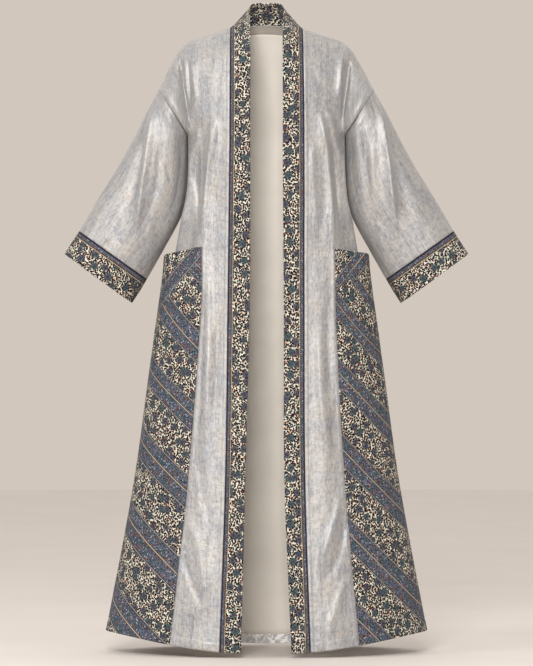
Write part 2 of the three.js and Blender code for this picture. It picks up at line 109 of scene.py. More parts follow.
SENSOR = 36.0
CAMERA_DISTANCE = 9000.0
CAMERA_HEIGHT = -672.1
VIEW_HEIGHT = 1465.2     # height of the camera's view at the robe
FLOOR_GAP = 5.0
FLOOR_RADIUS = 9300.0
FILL = {"level": 0.1, "overhead": 1.1, "behind": 0.6}   # strength of the soft light from all round
LIGHT_AIM = (0, 0, -0.6)
LIGHTS = {
    "front": {"place": (-0.5, -5.4, 1.7), "size": 1.6, "power": 262, "colour": (1.0, 0.985, 0.965)},
    "left": {"place": (-4.5, -3.0, 1.6), "size": 1.5, "power": 80, "colour": (0.97, 0.985, 1.0)},
    "right": {"place": (3.4, -4.2, 1.2), "size": 1.6, "power": 28, "colour": (1.0, 0.95, 0.9)},
}

FRONT = -1
BACK = 1
SIDES = {"right": -1, "left": 1}
SHIFT = {"right": 4.0, "left": 7.31}     # where each side's pieces lie on the printed cloth, in metres

# Plan of the grey body at a height
PLAN = {
    "z": [-1370, -1325, -995, -700, -600, -495, -420, -385, -345, -300, UNDERARM_Z],
    "half": [358, 350.3, 289, 247.5, 226, 200, 184, 174.5, 169.5, 168, 172],
    "front": [190, 187, 153, 133, 127, 121, 118, 118, 120, 122, 120],
    "back": [190, 186, 152, 124, 114, 107, 102, 102, 105, 110, 116],
    "corner": [0.98, 0.98, 0.96, 0.93, 0.9, 0.87, 0.85, 0.85, 0.85, 0.85, 0.85],
}

# Distance of an edge from the centre on each side
BAND_SEAM = {
    "z": [-1370, -990, -600, -343, UNDERARM_Z],
    "right": [102.6, 90, 84.8, 82, 80.8],
    "left": [96, 84.4, 82.9, 83.2, 83],
}
BAND_FREE = {
    "z": [-1370, -990, -600, -343, UNDERARM_Z],
    "right": [56, 46.5, 37, 36, 36],
    "left": [54.6, 39.4, 38, 36.4, 36],
}
PANEL_EDGE = {
    "z": [-1370, -990, -600, -486, -343, UNDERARM_Z],
    "right": [212, 170.5, 141, 138.5, 126, 115],
    "left": [203, 169.5, 149.2, 146.5, 136, 124],
}

# Ridge of the shoulder from the neck to the tip of the armhole
RIDGE = {
    "part": [0, 0.2, 0.34, 0.45, 0.54, 0.63, 0.74, 1],
    "x": [80, 122, 152, 174, 189, 201, 213, 238],
    "right": [0, -15.5, -24.5, -34, -47, -66, -88, -138],
    "left": [-2, -17.5, -26, -37, -53, -73, -94, -141],
}

# How far the side panel stands off the body at the side
STAND_OFF = {
    "z": [-1370, -720, -600, PANEL_TOP["right"]["side"]],
    "out": [0, 0, 8, 19.5],
}

# Rings of a sleeve: outer and inner edges from the front, and half of the depth
SLEEVE = {
    "along": [0, 1, 2, 3, 4, 5, 6],
    "outer_x": [238, 270.6, 300.3, 331.1, 371.8, 411.8, 444.4],
    "outer_z": [-138, -201, -259, -313.5, -379.5, -447.7, -497.2],
    "inner_x": [172, 172, 178, 191, 226.6, 262.7, 295.2],
    "inner_z": [-240, -318, -380, -424, -489.5, -553.3, -606.1],
    "depth": [78, 77, 75, 72, 68, 64, 62],
}

# Free edge of the band from the chest over the neck to the centre back
NECK_EDGE = {
    "level": [2, 2.28, 2.5, 2.66, 2.82, 3, 3.22, 3.45, 3.72, 4, 4.28],
    "x": [36, 36, 36, 36.3, 36.8, 37.5, 38, 37, 29, 0, -29],
    "y": [-118.6, -112, -97, -82, -57, -22, 11, 33, 54, 63, 54],
    "z": [-240, -121, -62, -28, -3, 16, 33, 47, 56.5, 59, 56.5],
}
BAND_CURVE = {
    "level": [0, 2.5, 3, 3.3, 4],
    "out": [1.5, 1.5, 3, 6, 3],
}

# Largest folds, as in the solids: the face, the column, the top and bottom, the rise and half-width
FOLDS = [
    (FRONT, 0.44, -150, -640, 6, 0.14),
    (FRONT, 0.62, -200, -560, -6, 0.11),
    (FRONT, 0.84, -170, -560, 8, 0.07),
    (FRONT, 0.22, -560, -1700, 5, 0.13),
    (BACK, 0.5, -230, -900, 5, 0.16),
    (BACK, 0.2, -600, -1700, 6, 0.16),
    (BACK, -0.1, -500, -1700, -5, 0.2),
]

# Creases given on each surface: the rise, the half-width on the inner side and on the outer
# side, and the line as points (distance from the centre, height), from the top down
CREASES = {
    "right_front": [
        (10, 7, 5, (144, -205), (163, -290), (172, -352), (182, -420), (188, -470)),
        (-8.0, 5, 5, (151, -262), (156, -330), (150, -420), (146, -470)),
        (9, 9, 4.5, (118, -205), (125, -285), (133, -350), (137, -420), (142, -480)),
        (-4.0, 6, 6, (131, -215), (141, -300), (143, -352), (148, -430)),
        (7, 8, 4.5, (165, -62), (160, -120), (156, -155), (164, -205)),
        (-13, 5, 5, (189, -64), (184, -115), (176, -170), (170, -225)),
        (-5.8, 5, 5, (170, -70), (168, -130), (168, -200)),
        (1.3, 9, 9, (88, -26), (104, -80), (124, -120), (145, -156)),
        (-1.6, 8, 8, (90, -98), (110, -142), (142, -196)),
        (3.6, 8, 8, (114, -206), (113, -245), (108, -300)),
        (5.0, 9, 9, (126, -500), (128, -720), (134, -860), (140, -1000)),
        (-3.6, 8, 8, (104, -620), (108, -760), (114, -900)),
        (-3.2, 9, 9, (150, -930), (132, -1040), (122, -1110)),
        (3.6, 10, 10, (176, -1060), (150, -1130), (134, -1210), (128, -1290)),
        (-3.2, 7, 7, (180, -1150), (160, -1215), (140, -1255), (120, -1262)),
    ],
    "left_front": [
        (10, 7, 4.5, (142, -205), (153, -245), (163, -290), (171, -330), (187, -425)),
        (-8.0, 5, 5, (148, -262), (154, -330), (158, -385), (160, -440)),
        (9, 9, 4, (121, -205), (130, -265), (135, -310), (142, -395), (148, -485)),
        (4.4, 8, 8, (100, -250), (102, -333), (110, -432), (108, -470)),
        (-3, 5, 5, (134, -215), (146, -300), (151, -350)),
        (7, 8, 4.5, (168, -55), (165, -92), (161, -138), (162, -180)),
        (-13, 5, 5, (183, -66), (174, -140), (168, -185), (163, -225)),
        (1.2, 9, 9, (88, -30), (115, -80), (125, -146)),
        (-1.5, 8, 8, (98, -90), (112, -130), (150, -152)),
        (3.6, 7, 7, (116, -192), (125, -237), (128, -262)),
        (5.1, 7, 7, (131, -182), (140, -210), (149, -238)),
        (4.4, 10, 10, (112, -640), (118, -800), (130, -930), (126, -1020)),
        (-3.6, 8, 8, (130, -600), (134, -720), (140, -840)),
        (4.8, 9, 9, (166, -1010), (146, -1085), (122, -1150), (112, -1240)),
        (-3.6, 8, 8, (172, -1075), (156, -1150), (140, -1190), (112, -1206)),
        (4.0, 9, 9, (180, -1190), (158, -1240), (140, -1300), (136, -1345)),
    ],
    "right_sleeve": [
        (7, 26, 20, (236, -153), (245, -207), (254, -260), (265, -322), (274, -372), (284, -440),
         (290, -500)),
        (9, 7, 6, (236, -153), (245, -207), (254, -260), (265, -322), (274, -372), (284, -440),
         (290, -500)),
        (4.1, 7, 7, (219, -178), (209, -208), (205, -230)),
        (-3.5, 6, 6, (219, -300), (212, -330), (206, -352)),
        (2, 8, 8, (239, -362), (246, -400), (256, -440), (262, -480)),
        (-10, 16, 16, (178, -225), (176, -300), (182, -365), (206, -440)),
        (-4.3, 8, 8, (232, -250), (236, -330), (248, -385), (268, -452)),
        (-3.8, 8, 8, (262, -235), (280, -320), (298, -390), (320, -455)),
        (2, 10, 10, (275, -255), (302, -330), (330, -400), (352, -450)),
    ],
    "left_sleeve": [
        (7, 26, 20, (236, -155), (248, -215), (262, -292), (270, -347), (277, -395), (284, -487)),
        (9, 7, 6, (236, -155), (248, -215), (262, -292), (270, -347), (277, -395), (284, -487)),
        (4.1, 9, 9, (198, -190), (199, -250), (200, -305)),
        (-4.9, 8, 8, (214, -230), (219, -310), (222, -360), (232, -420)),
        (4.1, 8, 8, (226, -252), (233, -340), (229, -395)),
        (4.1, 8, 8, (243, -426), (250, -460), (258, -500)),
        (-6, 16, 16, (176, -230), (177, -305), (186, -375), (206, -438)),
        (-1.8, 9, 9, (264, -230), (286, -320), (304, -400), (322, -460)),
        (1.6, 11, 11, (280, -262), (310, -350), (336, -420), (350, -456)),
    ],
    "right_back": [
        (5.2, 12, 12, (100, -60), (124, -150), (140, -260), (150, -380)),
        (-4.4, 9, 9, (172, -70), (170, -150), (160, -240)),
        (4.4, 12, 12, (60, -330), (66, -520), (84, -720), (96, -900)),
        (-3.9, 12, 12, (96, -420), (104, -620), (128, -820), (140, -980)),
        (4.2, 14, 14, (120, -800), (132, -980), (150, -1160), (160, -1330)),
    ],
    "left_back": [
        (5.2, 12, 12, (96, -64), (118, -160), (138, -250), (146, -400)),
        (-4.4, 9, 9, (170, -74), (172, -160), (158, -250)),
        (3.9, 12, 12, (66, -300), (74, -500), (80, -700), (100, -930)),
        (-3.9, 12, 12, (104, -400), (112, -640), (120, -860), (142, -1010)),
        (3.9, 14, 14, (112, -860), (130, -1010), (142, -1180), (158, -1340)),
    ],
    "right_sleeve_back": [
        (7.2, 14, 14, (232, -160), (248, -240), (262, -330), (286, -430), (296, -500)),
        (-4.7, 9, 9, (200, -230), (212, -320), (232, -410)),
        (3.6, 10, 10, (262, -240), (300, -330), (336, -420)),
    ],
    "left_sleeve_back": [
        (7.2, 14, 14, (234, -165), (246, -230), (266, -340), (282, -420), (300, -505)),
        (-4.7, 9, 9, (196, -235), (214, -330), (228, -400)),
        (3.6, 10, 10, (266, -250), (296, -320), (340, -425)),
    ],
}

# Heights at which the gold lines of a side panel's stripes meet its inner edge in front, from the
# top down. Line 0 is the first below the corner stripe.
GOLD_LINES = {
    "right": [-388, -533, -706, -853, -1015, -1194, -1390, -1600, -1820],
    "left": [-340, -487, -604, -759, -926, -1108, -1291, -1480, -1680],
}
# How far a stripe rises for each millimetre outward, and the part of that taken along the cloth
STRIPE = {"right": {"rise": 0.83, "along": 0.5}, "left": {"rise": 1.12, "along": 0.0}}
# The corner stripe at a panel's top: two points of its upper edge, as (outward, height), its full
# width, and the phase below which the other stripes start
CORNER = {
    "right": {"from": (91, -576), "to": (35, -508), "width": 24, "gold": -50, "start": -5},
    "left": {"from": (0, -555), "to": (42, -499), "width": 34, "gold": 16, "start": 0.0},
}

ALL_ROUND = ["first", "last", "bottom", "top"]

NOISE_CELLS = 32
NOISE = np.random.default_rng(20).random((NOISE_CELLS,) * 3)


def paint(red, green, blue):
    """A colour given in 0 to 255 as the renderer's linear colour."""
    parts = (red / 255, green / 255, blue / 255)
    linear = [((c + 0.055) / 1.055) ** 2.4 if c > 0.04045 else c / 12.92 for c in parts]
    return (*linear, 1.0)


def mix(a, b, part):
    return a + (b - a) * part


def pair(a, b):
    """Two arrays of numbers brought to one shape."""
    return np.broadcast_arrays(np.asarray(a, float), np.asarray(b, float))


def length_along(points):
    """Distance from the first point of a line to each of its points."""
    return np.concatenate([[0], np.cumsum(np.linalg.norm(np.diff(points, axis=0), axis=1))])


def ease(x, low, high):
    t = np.clip((x - low) / (high - low), 0, 1)
    return t * t * (3 - 2 * t)


def follow(table, key, value, at):
    """Value of one column of a table, on a smooth curve through its rows."""
    keys = np.array(table[key], float)
    values = np.array(table[value], float)
    last = len(keys) - 1
    at = np.asarray(at, float)
    row = np.clip(np.searchsorted(keys, at, side="left") - 1, 0, last - 1)
    before = np.maximum(row - 1, 0)
    after = np.minimum(row + 2, last)
    span = keys[row + 1] - keys[row]
    slope_from = (values[row + 1] - values[before]) / (keys[row + 1] - keys[before])
    slope_to = (values[after] - values[row]) / (keys[after] - keys[row])
    t = (at - keys[row]) / span
    curve = (2 * t**3 - 3 * t**2 + 1) * values[row] + (3 * t**2 - 2 * t**3) * values[row + 1]
    return curve + (t**3 - 2 * t**2 + t) * span * slope_from + (t**3 - t**2) * span * slope_to


def smooth_noise(x, y, z):
    """Soft noise between -1 and 1, one bump for each unit."""
    place = np.stack(np.broadcast_arrays(x, y, z), -1).astype(float)
    cell = np.floor(place).astype(int)
    part = place - cell
    part = part * part * (3 - 2 * part)
    total = 0
    for corner in itertools.product((0, 1), repeat=3):
        weight = np.prod(np.abs(1 - np.array(corner) - part), axis=-1)
        at = (cell + corner) % NOISE_CELLS
        total = total + weight * NOISE[at[..., 0], at[..., 1], at[..., 2]]
    return 2 * total - 1


def plan_angle(half, corner, x):
    return np.arcsin(np.minimum(x / half, 1) ** (1 / corner))


def column_angle(side, z, column):
    half = follow(PLAN, "z", "half", z)
    corner = follow(PLAN, "z", "corner", z)
    seam = plan_angle(half, corner, follow(BAND_SEAM, "z", side, z))
    edge = plan_angle(half, corner, follow(PANEL_EDGE, "z", side, z))
    inner = mix(seam, edge, column / EDGE_COLUMN)
    outer = mix(edge, math.pi / 2, (column - EDGE_COLUMN) / (1 - EDGE_COLUMN))
    return np.where(column < 0, seam * (1 + column), np.where(column < EDGE_COLUMN, inner, outer))


def plan_point(side, face, z, angle):
    half = follow(PLAN, "z", "half", z)
    depth = follow(PLAN, "z", "front" if face == FRONT else "back", z)
    corner = follow(PLAN, "z", "corner", z)
    across = np.maximum(np.sin(angle), 0) ** corner
    deep = np.maximum(np.cos(angle), 0) ** corner
    return np.stack([SIDES[side] * half * across, face * depth * deep, z + 0 * across], -1)


def hem_height(face, angle):
    middle = HEM["front"] if face == FRONT else HEM["back"]
    return mix(HEM["side"], middle, np.maximum(np.cos(angle), 0) ** 3)


def skirt_point(side, face, column, level):
    """Body below the underarm, before its folds."""
    hem = hem_height(face, column_angle(side, np.full_like(column, HEM["side"]), column))
    top = mix(PANEL_TOP[side]["inner"], PANEL_TOP[side]["side"], ease(column, EDGE_COLUMN, 1))
    z = np.where(level < 1, mix(hem, top, level), mix(top, UNDERARM_Z, level - 1))
    return plan_point(side, face, z, column_angle(side, z, column))


def ridge_point(side, column):
    part = np.where(
        column < EDGE_COLUMN,
        0.2 * column / EDGE_COLUMN,
        mix(0.2, 1, (column - EDGE_COLUMN) / (1 - EDGE_COLUMN)),
    )
    x = follow(RIDGE, "part", "x", part)
    return np.stack([SIDES[side] * x, 0 * x, follow(RIDGE, "part", side, part)], -1)


def neck_point(side, turn):
    """Seam of the collar behind the neck, from the ridge (0) to the centre back (1)."""
    angle = turn * math.pi / 2
    x = NECK["half"] * np.sign(np.cos(angle)) * np.abs(np.cos(angle)) ** ROUND
    y = NECK["depth"] * np.sin(angle) ** ROUND
    z = mix(follow(RIDGE, "part", side, 0.0), NECK["rise"], turn)
    return np.stack([SIDES[side] * x, y, z], -1)


def chest_point(side, face, column, level):
    """Body above the underarm, before its folds."""
    angle = (level - 2) * math.pi / 2
    rise = np.maximum(np.sin(angle), 0) ** ROUND
    drop = np.maximum(np.cos(angle), 0) ** ROUND
    underarm = np.full_like(column, UNDERARM_Z)
    low = plan_point(side, face, underarm, column_angle(side, underarm, column))
    turn = np.clip(-column, 0, 1)
    high = neck_point(side, turn)
    nape = mix(drop, (1 - np.minimum(rise, 1) ** 2) ** 0.8, turn)
    behind = np.stack([
        mix(low[..., 0], high[..., 0], rise),
        high[..., 1] + (low[..., 1] - high[..., 1]) * nape,
        mix(UNDERARM_Z, high[..., 2], rise),
    ], -1)
    outward = np.maximum(column, 0)
    ridge = ridge_point(side, outward)
    arm = ease(outward, 0.66, 1)
    oval = np.maximum(4 * rise * (1 - rise), 0) ** mix(1.3, 0.5, arm)
    lean = rise ** mix(1.5, 1, outward)
    beside = np.stack([
        mix(low[..., 0], ridge[..., 0], lean),
        low[..., 1] * drop + face * ARM_DEPTH * arm * oval,
        mix(UNDERARM_Z, ridge[..., 2], rise),
    ], -1)
    return np.where((column < 0)[..., None], behind, beside)


def smooth_body(side, face, column, level):
    """A back level above 3 runs over the ridge and down the front of the shoulder."""
    column, level = pair(column, level)
    skirt = skirt_point(side, face, column, np.minimum(level, 2))
    chest = chest_point(side, face, column, np.clip(level, 2, 3))
    over = chest_point(side, FRONT, column, np.clip(6 - level, 2, 3))
    body = np.where((level < 2)[..., None], skirt, chest)
    return np.where((level > 3)[..., None], over, body)


def normal_at(surface, a, b, limits):
    """Unit normal of a surface, the mean of the four quarters round each point."""
    step = 0.004
    here = surface(a, b)
    total = np.zeros_like(here)
    for step_a in (-step, step):
        along_a = (surface(a + step_a, b) - here) * step_a
        inside_a = (a + step_a >= limits["a"][0]) & (a + step_a <= limits["a"][1])
        for step_b in (-step, step):
            along_b = (surface(a, b + step_b) - here) * step_b
            inside = inside_a & (b + step_b >= limits["b"][0]) & (b + step_b <= limits["b"][1])
            cross = np.cross(along_a, along_b)
            length = np.linalg.norm(cross, axis=-1, keepdims=True)
            total = total + np.where(inside[..., None], cross / np.maximum(length, 1e-12), 0)
    return total / np.maximum(np.linalg.norm(total, axis=-1, keepdims=True), 1e-12)


def crease_rise(name, x, z):
    """Sum of the given creases of one surface at points seen from the front."""
    total = np.zeros_like(x)
    for rise, inner, outer, *points in CREASES[name]:
        line = np.array(points, float)
        length = length_along(line)
        nearest = np.full(x.shape, 1e9)
        along = np.zeros_like(x)
        width = np.zeros_like(x)
        for start, end, before, after in zip(line[:-1], line[1:], length[:-1], length[1:]):
            leg = end - start
            t = np.clip(((x - start[0]) * leg[0] + (z - start[1]) * leg[1]) / (leg @ leg), 0, 1)
            distance = np.hypot(x - start[0] - t * leg[0], z - start[1] - t * leg[1])
            closer = distance < nearest
            nearest = np.where(closer, distance, nearest)
            along = np.where(closer, mix(before, after, t) / length[-1], along)
            outside = (x - start[0]) * leg[1] < (z - start[1]) * leg[0]
            width = np.where(closer, np.where(outside, outer, inner), width)
        taper = ease(along, 0, 0.2) * ease(1 - along, 0, 0.35)
        total += rise * taper * np.exp(-((nearest / width) ** 2))
    return total


def fold_rise(face, column, z):
    """Sum of the largest folds of the front or the back."""
    total = np.zeros_like(z)
    for own_face, middle, top, bottom, rise, width in FOLDS:
        if own_face == face:
            part = np.clip((z - bottom) / (top - bottom), 0, 1)
            across = (column - middle) / width
            total += rise * np.sin(math.pi * part) * np.exp(-across * across)
    return total


def body_relief(side, face, column, level, point):
    """How far the body's cloth lies outside the smooth surface, and how far creases move it along y."""
    x = np.abs(point[..., 0])
    z = point[..., 2]
    side_name = f"{side}_{'front' if face == FRONT else 'back'}"
    seed = 7.3 * SIDES[side] + 3.1 * face
    broad, fine = RIPPLE["body"]
    ripples = broad * smooth_noise(x / 30, z / 75, seed) + fine * smooth_noise(x / 13, z / 26, seed + 5)
    ripples += RIPPLE["low"] * smooth_noise(x / 45 + z / 60, z / 45, seed + 9) * ease(-z, 900, 1150)
    puckers = RIPPLE["hem"] * smooth_noise(x / 6, z / 60, seed + 2) * ease(-z, 1325, 1362)
    # The edges of a piece lie flat where it is sewn, and the panels cover the lower body's side
    sewn = ease(column, 0, 0.1) * ease(1 - column, 0, 0.06)
    centre = np.where(column < 0, 0.25, 1)
    beside = np.exp(-(((EDGE_COLUMN - column) / 0.04 - 0.9) ** 2) * 4) * ease(1.04 - level, 0, 0.04)
    ridge = 0.9 * beside if face == FRONT else 0
    covered = mix(1, 0.45, ease(column, EDGE_COLUMN, EDGE_COLUMN + 0.06) * ease(1.03 - level, 0, 0.06))
    shoulder = ease(SHOULDER_SEAM - level, 0, 0.1) if face == FRONT else ease(3 - level, 0, 0.25)
    calm = np.where(column < 0, 1, sewn) * centre * covered * shoulder
    normal_rise = fold_rise(face, column, z) + (ripples + puckers) * calm + ridge
    return normal_rise, face * crease_rise(side_name, x, z) * calm


def body_points(side, face, column, level, out):
    """Points on the grey body, moved out by `out`."""
    column, level = pair(column, level)
    over = level > 3
    low = -1.0 if face == BACK and column.min() < 0 else 0.0
    limits = {"a": (low, 1.0), "b": (0.0, 3.3 if face == BACK and column.min() >= 0 else 3.0)}
    surface = lambda a, b: smooth_body(side, face, a, b)
    normal = normal_at(surface, column, level, limits) * -SIDES[side] * face
    point = surface(column, level)
    relief, along_y = body_relief(side, face, column, level, point)
    if over.any():
        over_relief, over_y = body_relief(side, FRONT, column, 6 - level, point)
        relief = np.where(over, over_relief, relief)
        along_y = np.where(over, over_y, along_y)
    moved = point + normal * (out + relief)[..., None]
    moved[..., 1] += along_y
    return moved


def sleeve_point(side, turn, along):
    """`turn` runs over the front from the inner edge (0) to the outer (1) and back behind (2)."""
    turn = np.mod(turn, 2)
    level = np.where(turn < 1, turn, 2 - turn)
    face = np.where(turn < 1, FRONT, BACK)
    rise = np.maximum(np.sin(level * math.pi / 2), 0) ** ROUND
    deep = follow(SLEEVE, "along", "depth", along) * np.maximum(4 * rise * (1 - rise), 0) ** 0.5
    tip = follow(RIDGE, "part", side, 1.0)
    fall = (tip - SLEEVE["outer_z"][0]) * np.maximum(1 - along, 0)
    inner_x, outer_x = (follow(SLEEVE, "along", name, along) for name in ("inner_x", "outer_x"))
    inner_z, outer_z = (follow(SLEEVE, "along", name, along) for name in ("inner_z", "outer_z"))
    x = mix(inner_x, outer_x, rise)
    z = mix(inner_z, outer_z + fall, rise)
    return np.stack([SIDES[side] * x, face * deep, z], -1)


def sleeve_points(side, turn, along, out):
    turn, along = pair(turn, along)
    surface = lambda a, b: sleeve_point(side, a, b)
    normal = normal_at(surface, turn, along, {"a": (-3, 5), "b": (0, 6)}) * -SIDES[side]
    point = surface(turn, along)
    x, z = np.abs(point[..., 0]), point[..., 2]
    facing = np.mod(turn, 2)
    front = crease_rise(f"{side}_sleeve", x, z)
    behind = crease_rise(f"{side}_sleeve_back", x, z)
    seed = 17.7 * SIDES[side]
    broad, fine = RIPPLE["sleeve"]
    ripples = broad * smooth_noise(x / 34 - z / 60, facing * 3, seed)
    ripples += fine * smooth_noise(x / 14, z / 26, seed + facing)
    edges = ease(along, 0, 0.25) * ease(5 - along, -0.05, 0.7)
    outline = ease(facing, 0, 0.06) * ease(2 - facing, 0, 0.06) * ease(np.abs(facing - 1), 0, 0.1)
    relief = (np.where(facing < 1, front, behind) * outline + ripples * mix(0.4, 1, outline)) * edges
    cuff = RIPPLE["cuff"] * smooth_noise(facing * 7, along * 2, seed + 4) * ease(along, 5, 5.3)
    return point + normal * (out + relief + cuff)[..., None]


def band_point(side, across, level):
    """`across` runs from the band's seam (0) to its free edge (1)."""
    across, level = pair(across, level)
    front_seam = smooth_body(side, FRONT, 0 * level, np.minimum(level, 3))
    back_seam = neck_point(side, np.maximum(level - 3, 0))
    seam = np.where((level < 3)[..., None], front_seam, back_seam)
    half = follow(PLAN, "z", "half", seam[..., 2])
    corner = follow(PLAN, "z", "corner", seam[..., 2])
    angle = plan_angle(half, corner, follow(BAND_FREE, "z", side, seam[..., 2]))
    drop = (hem_height(FRONT, angle) - HEM["front"]) * (1 - level / 2)
    low = plan_point(side, FRONT, seam[..., 2], angle)
    low[..., 2] -= np.minimum(drop, 5)
    x, y, z = (follow(NECK_EDGE, "level", name, np.maximum(level, 2)) for name in "xyz")
    high = np.stack([SIDES[side] * x, y, z], -1)
    free = np.where((level < 2)[..., None], low, high)
    chord = free - seam
    turned = ease(level, 2.8, 3.1)
    start = mix(2 * SEAM, COLLAR_SEAM, turned) / np.linalg.norm(chord, axis=-1)
    point = seam + chord * mix(start, 1, across)[..., None]
    bulge = follow(BAND_CURVE, "level", "out", level) * 4 * across * (1 - across)
    y_out = np.where(level < 3, -np.abs(point[..., 1]), point[..., 1])
    outward = np.stack([point[..., 0], y_out, 0 * y_out], -1)
    outward /= np.linalg.norm(outward, axis=-1, keepdims=True)
    return point + outward * bulge[..., None]


def band_points(side, across, level, out):
    across, level = pair(across, level)
    surface = lambda a, b: band_point(side, a, b)
    normal = normal_at(surface, across, level, {"a": (0, 1), "b": (0, 4.1)}) * -SIDES[side]
    point = surface(across, level)
    wave = BAND_RIPPLE[0] * smooth_noise(across * 1.5, point[..., 2] / 55, 30 + SIDES[side])
    pinch = BAND_RIPPLE[1] * smooth_noise(across * 2, point[..., 2] / 9, 40 + SIDES[side])
    calm = ease(across, 0, 0.2) * ease(1 - across, -0.2, 0.3)
    return point + normal * (out + (wave + pinch) * calm)[..., None]


def spread(*stops):
    """Positions between stops given as (position, number of steps up to it)."""
    positions = [np.array([stops[0][0]], float)]
    for (before, _), (after, count) in zip(stops[:-1], stops[1:]):
        positions.append(np.linspace(before, after, count + 1)[1:])
    return np.concatenate(positions)


def cloth_lengths(grid):
    """Distance across and along the cloth at each point of a grid, in metres."""
    across = np.linalg.norm(np.diff(grid, axis=0), axis=-1)
    along = np.linalg.norm(np.diff(grid, axis=1), axis=-1)
    u = np.concatenate([np.zeros((1, grid.shape[1])), np.cumsum(across, axis=0)])
    v = np.concatenate([np.zeros((grid.shape[0], 1)), np.cumsum(along, axis=1)], axis=1)
    return np.stack([u, v], -1) / 1000


def add_object(name, data):
    made = bpy.data.objects.new(name, data)
    bpy.context.scene.collection.objects.link(made)
    return made


def smooth_mesh(name, vertices, faces, materials):
    """A mesh in metres from points in millimetres."""
    mesh = bpy.data.meshes.new(name)
    mesh.from_pydata((vertices / 1000).tolist(), [], faces)
    for material in materials:
        mesh.materials.append(material)
    mesh.polygons.foreach_set("use_smooth", np.ones(len(faces), bool))
    return mesh


def open_edges(quads):
    """Edges that belong to one quad only, each in that quad's direction."""
    found = {}
    for a, b in np.stack([quads, np.roll(quads, -1, axis=1)], -1).reshape(-1, 2):
        if found.pop((b, a), None) is None:
            found[(a, b)] = True
    return np.array(list(found), int)


def cloth_piece(name, sheet, materials, keep=None, wraps=False, stripes=None, shift=(0, 0)):
    """A thin closed shell of cloth between a sheet's two grids, with rounded edges and its maps."""
    columns, rows = sheet["outer"].shape[:2]
    count = columns * rows
    points = [sheet["outer"].reshape(-1, 3), sheet["inner"].reshape(-1, 3)]
    i, j = np.meshgrid(np.arange(columns if wraps else columns - 1), np.arange(rows - 1), indexing="ij")
    if keep is not None:
        i, j = i[keep], j[keep]
    i, j = i.ravel(), j.ravel()
    right = (i + 1) % columns
    top = np.stack([i * rows + j, right * rows + j, right * rows + j + 1, i * rows + j + 1], -1)
    rim = open_edges(top)
    edge = np.unique(rim)
    # A third row of points rounds the rim out between the two grids, away from its neighbours
    middle = (points[0][edge] + points[1][edge]) / 2
    beside = np.zeros((count, 3))
    neighbours = np.zeros(count)
    for a, b in zip((0, 1, 2, 3), (1, 2, 3, 0)):
        for first, second in ((a, b), (b, a)):
            np.add.at(beside, top[:, first], points[0][top[:, second]])
            np.add.at(neighbours, top[:, first], 1)
    away = points[0][edge] - beside[edge] / neighbours[edge][:, None]
    away /= np.maximum(np.linalg.norm(away, axis=1, keepdims=True), 1e-9)
    wall = np.linalg.norm(points[0][edge] - points[1][edge], axis=1)[:, None]
    points.append(middle + away * wall * EDGE_BULGE)
    spot = np.zeros(count, int)
    spot[edge] = 2 * count + np.arange(len(edge))
    faces = [top, np.flip(top, 1) + count]
    a, b = rim[:, 0], rim[:, 1]
    faces.append(np.stack([a, spot[a], spot[b], b], -1))
    faces.append(np.stack([spot[a], a + count, b + count, spot[b]], -1))
    faces = np.concatenate(faces)
    vertices = np.concatenate(points)
    mesh = smooth_mesh(name, vertices, faces.tolist(), materials)
    flags = np.zeros(len(faces), int)
    if len(materials) > 1:
        flags[len(top):2 * len(top)] = 1
    mesh.polygons.foreach_set("material_index", flags)
    write_map(mesh, "cloth", sheet["cloth"] + np.array(shift), edge, faces)
    if stripes is not None:
        write_map(mesh, "stripes", stripes, edge, faces)
    mesh.validate()
    mesh.update()
    made = add_object(name, mesh)
    if signed_volume(vertices, faces) < 0:
        mesh.flip_normals()
    return made


def write_map(mesh, name, values, edge, faces):
    flat = values.reshape(-1, 2)
    every = np.concatenate([flat, flat, flat[edge]])
    layer = mesh.uv_layers.new(name=name)
    layer.uv.foreach_set("vector", every[faces.ravel()].astype(np.float32).ravel())


def signed_volume(vertices, faces):
    a, b, c, d = (vertices[faces[:, k]] for k in range(4))
    return np.einsum("ij,ij->", a, np.cross(b, c)) + np.einsum("ij,ij->", a, np.cross(c, d))


def trim(grid, edge):
    """Move one edge of a grid in towards its neighbour by half of a seam's gap."""
    lines = {
        "first": (grid[0], grid[1]),
        "last": (grid[-1], grid[-2]),
        "bottom": (grid[:, 0], grid[:, 1]),
        "top": (grid[:, -1], grid[:, -2]),
    }
    line, beside = lines[edge]
    step = beside - line
    line += step / np.maximum(np.linalg.norm(step, axis=-1, keepdims=True), 1e-9) * SEAM


def edge_distance(cloth, edge):
    """Distance in millimetres from one edge of a piece at each point of its grid."""
    u, v = cloth[..., 0] * 1000, cloth[..., 1] * 1000
    return {"first": u, "last": u[-1:] - u, "bottom": v, "top": v[:, -1:] - v}[edge]


def sewn_edge(distance, kind):
    """Height of the cloth near an edge: a plain seam, a topstitched seam or a turned hem."""
    groove = GROOVE["rise"] * np.exp(-((distance / GROOVE["width"]) ** 2))
    if kind == "seam":
        return groove
    allowance = TOPSTITCH if kind == "topstitched" else HEM["turned"]
    ridge = FOLDED["rise"] * (1 - ease(distance, allowance - FOLDED["soft"], allowance + FOLDED["soft"]))
    dip = DIP["rise"] * np.exp(-(((distance - allowance) / DIP["width"]) ** 2))
    return ridge + dip + (groove if kind == "topstitched" else 0)


def make_sheet(points, wall, edges=(), trims=()):
    """Outer and inner grids of a piece, with its edges worked. `points(out)` gives its surface."""
    flat = points(0)
    cloth = cloth_lengths(flat)
    out = 0
    for edge, kind in edges:
        out = out + sewn_edge(edge_distance(cloth, edge), kind)
    outer, inner = points(out), points(out - wall)
    for edge in trims:
        trim(outer, edge)
        trim(inner, edge)
    return {"outer": outer, "inner": inner, "cloth": cloth}


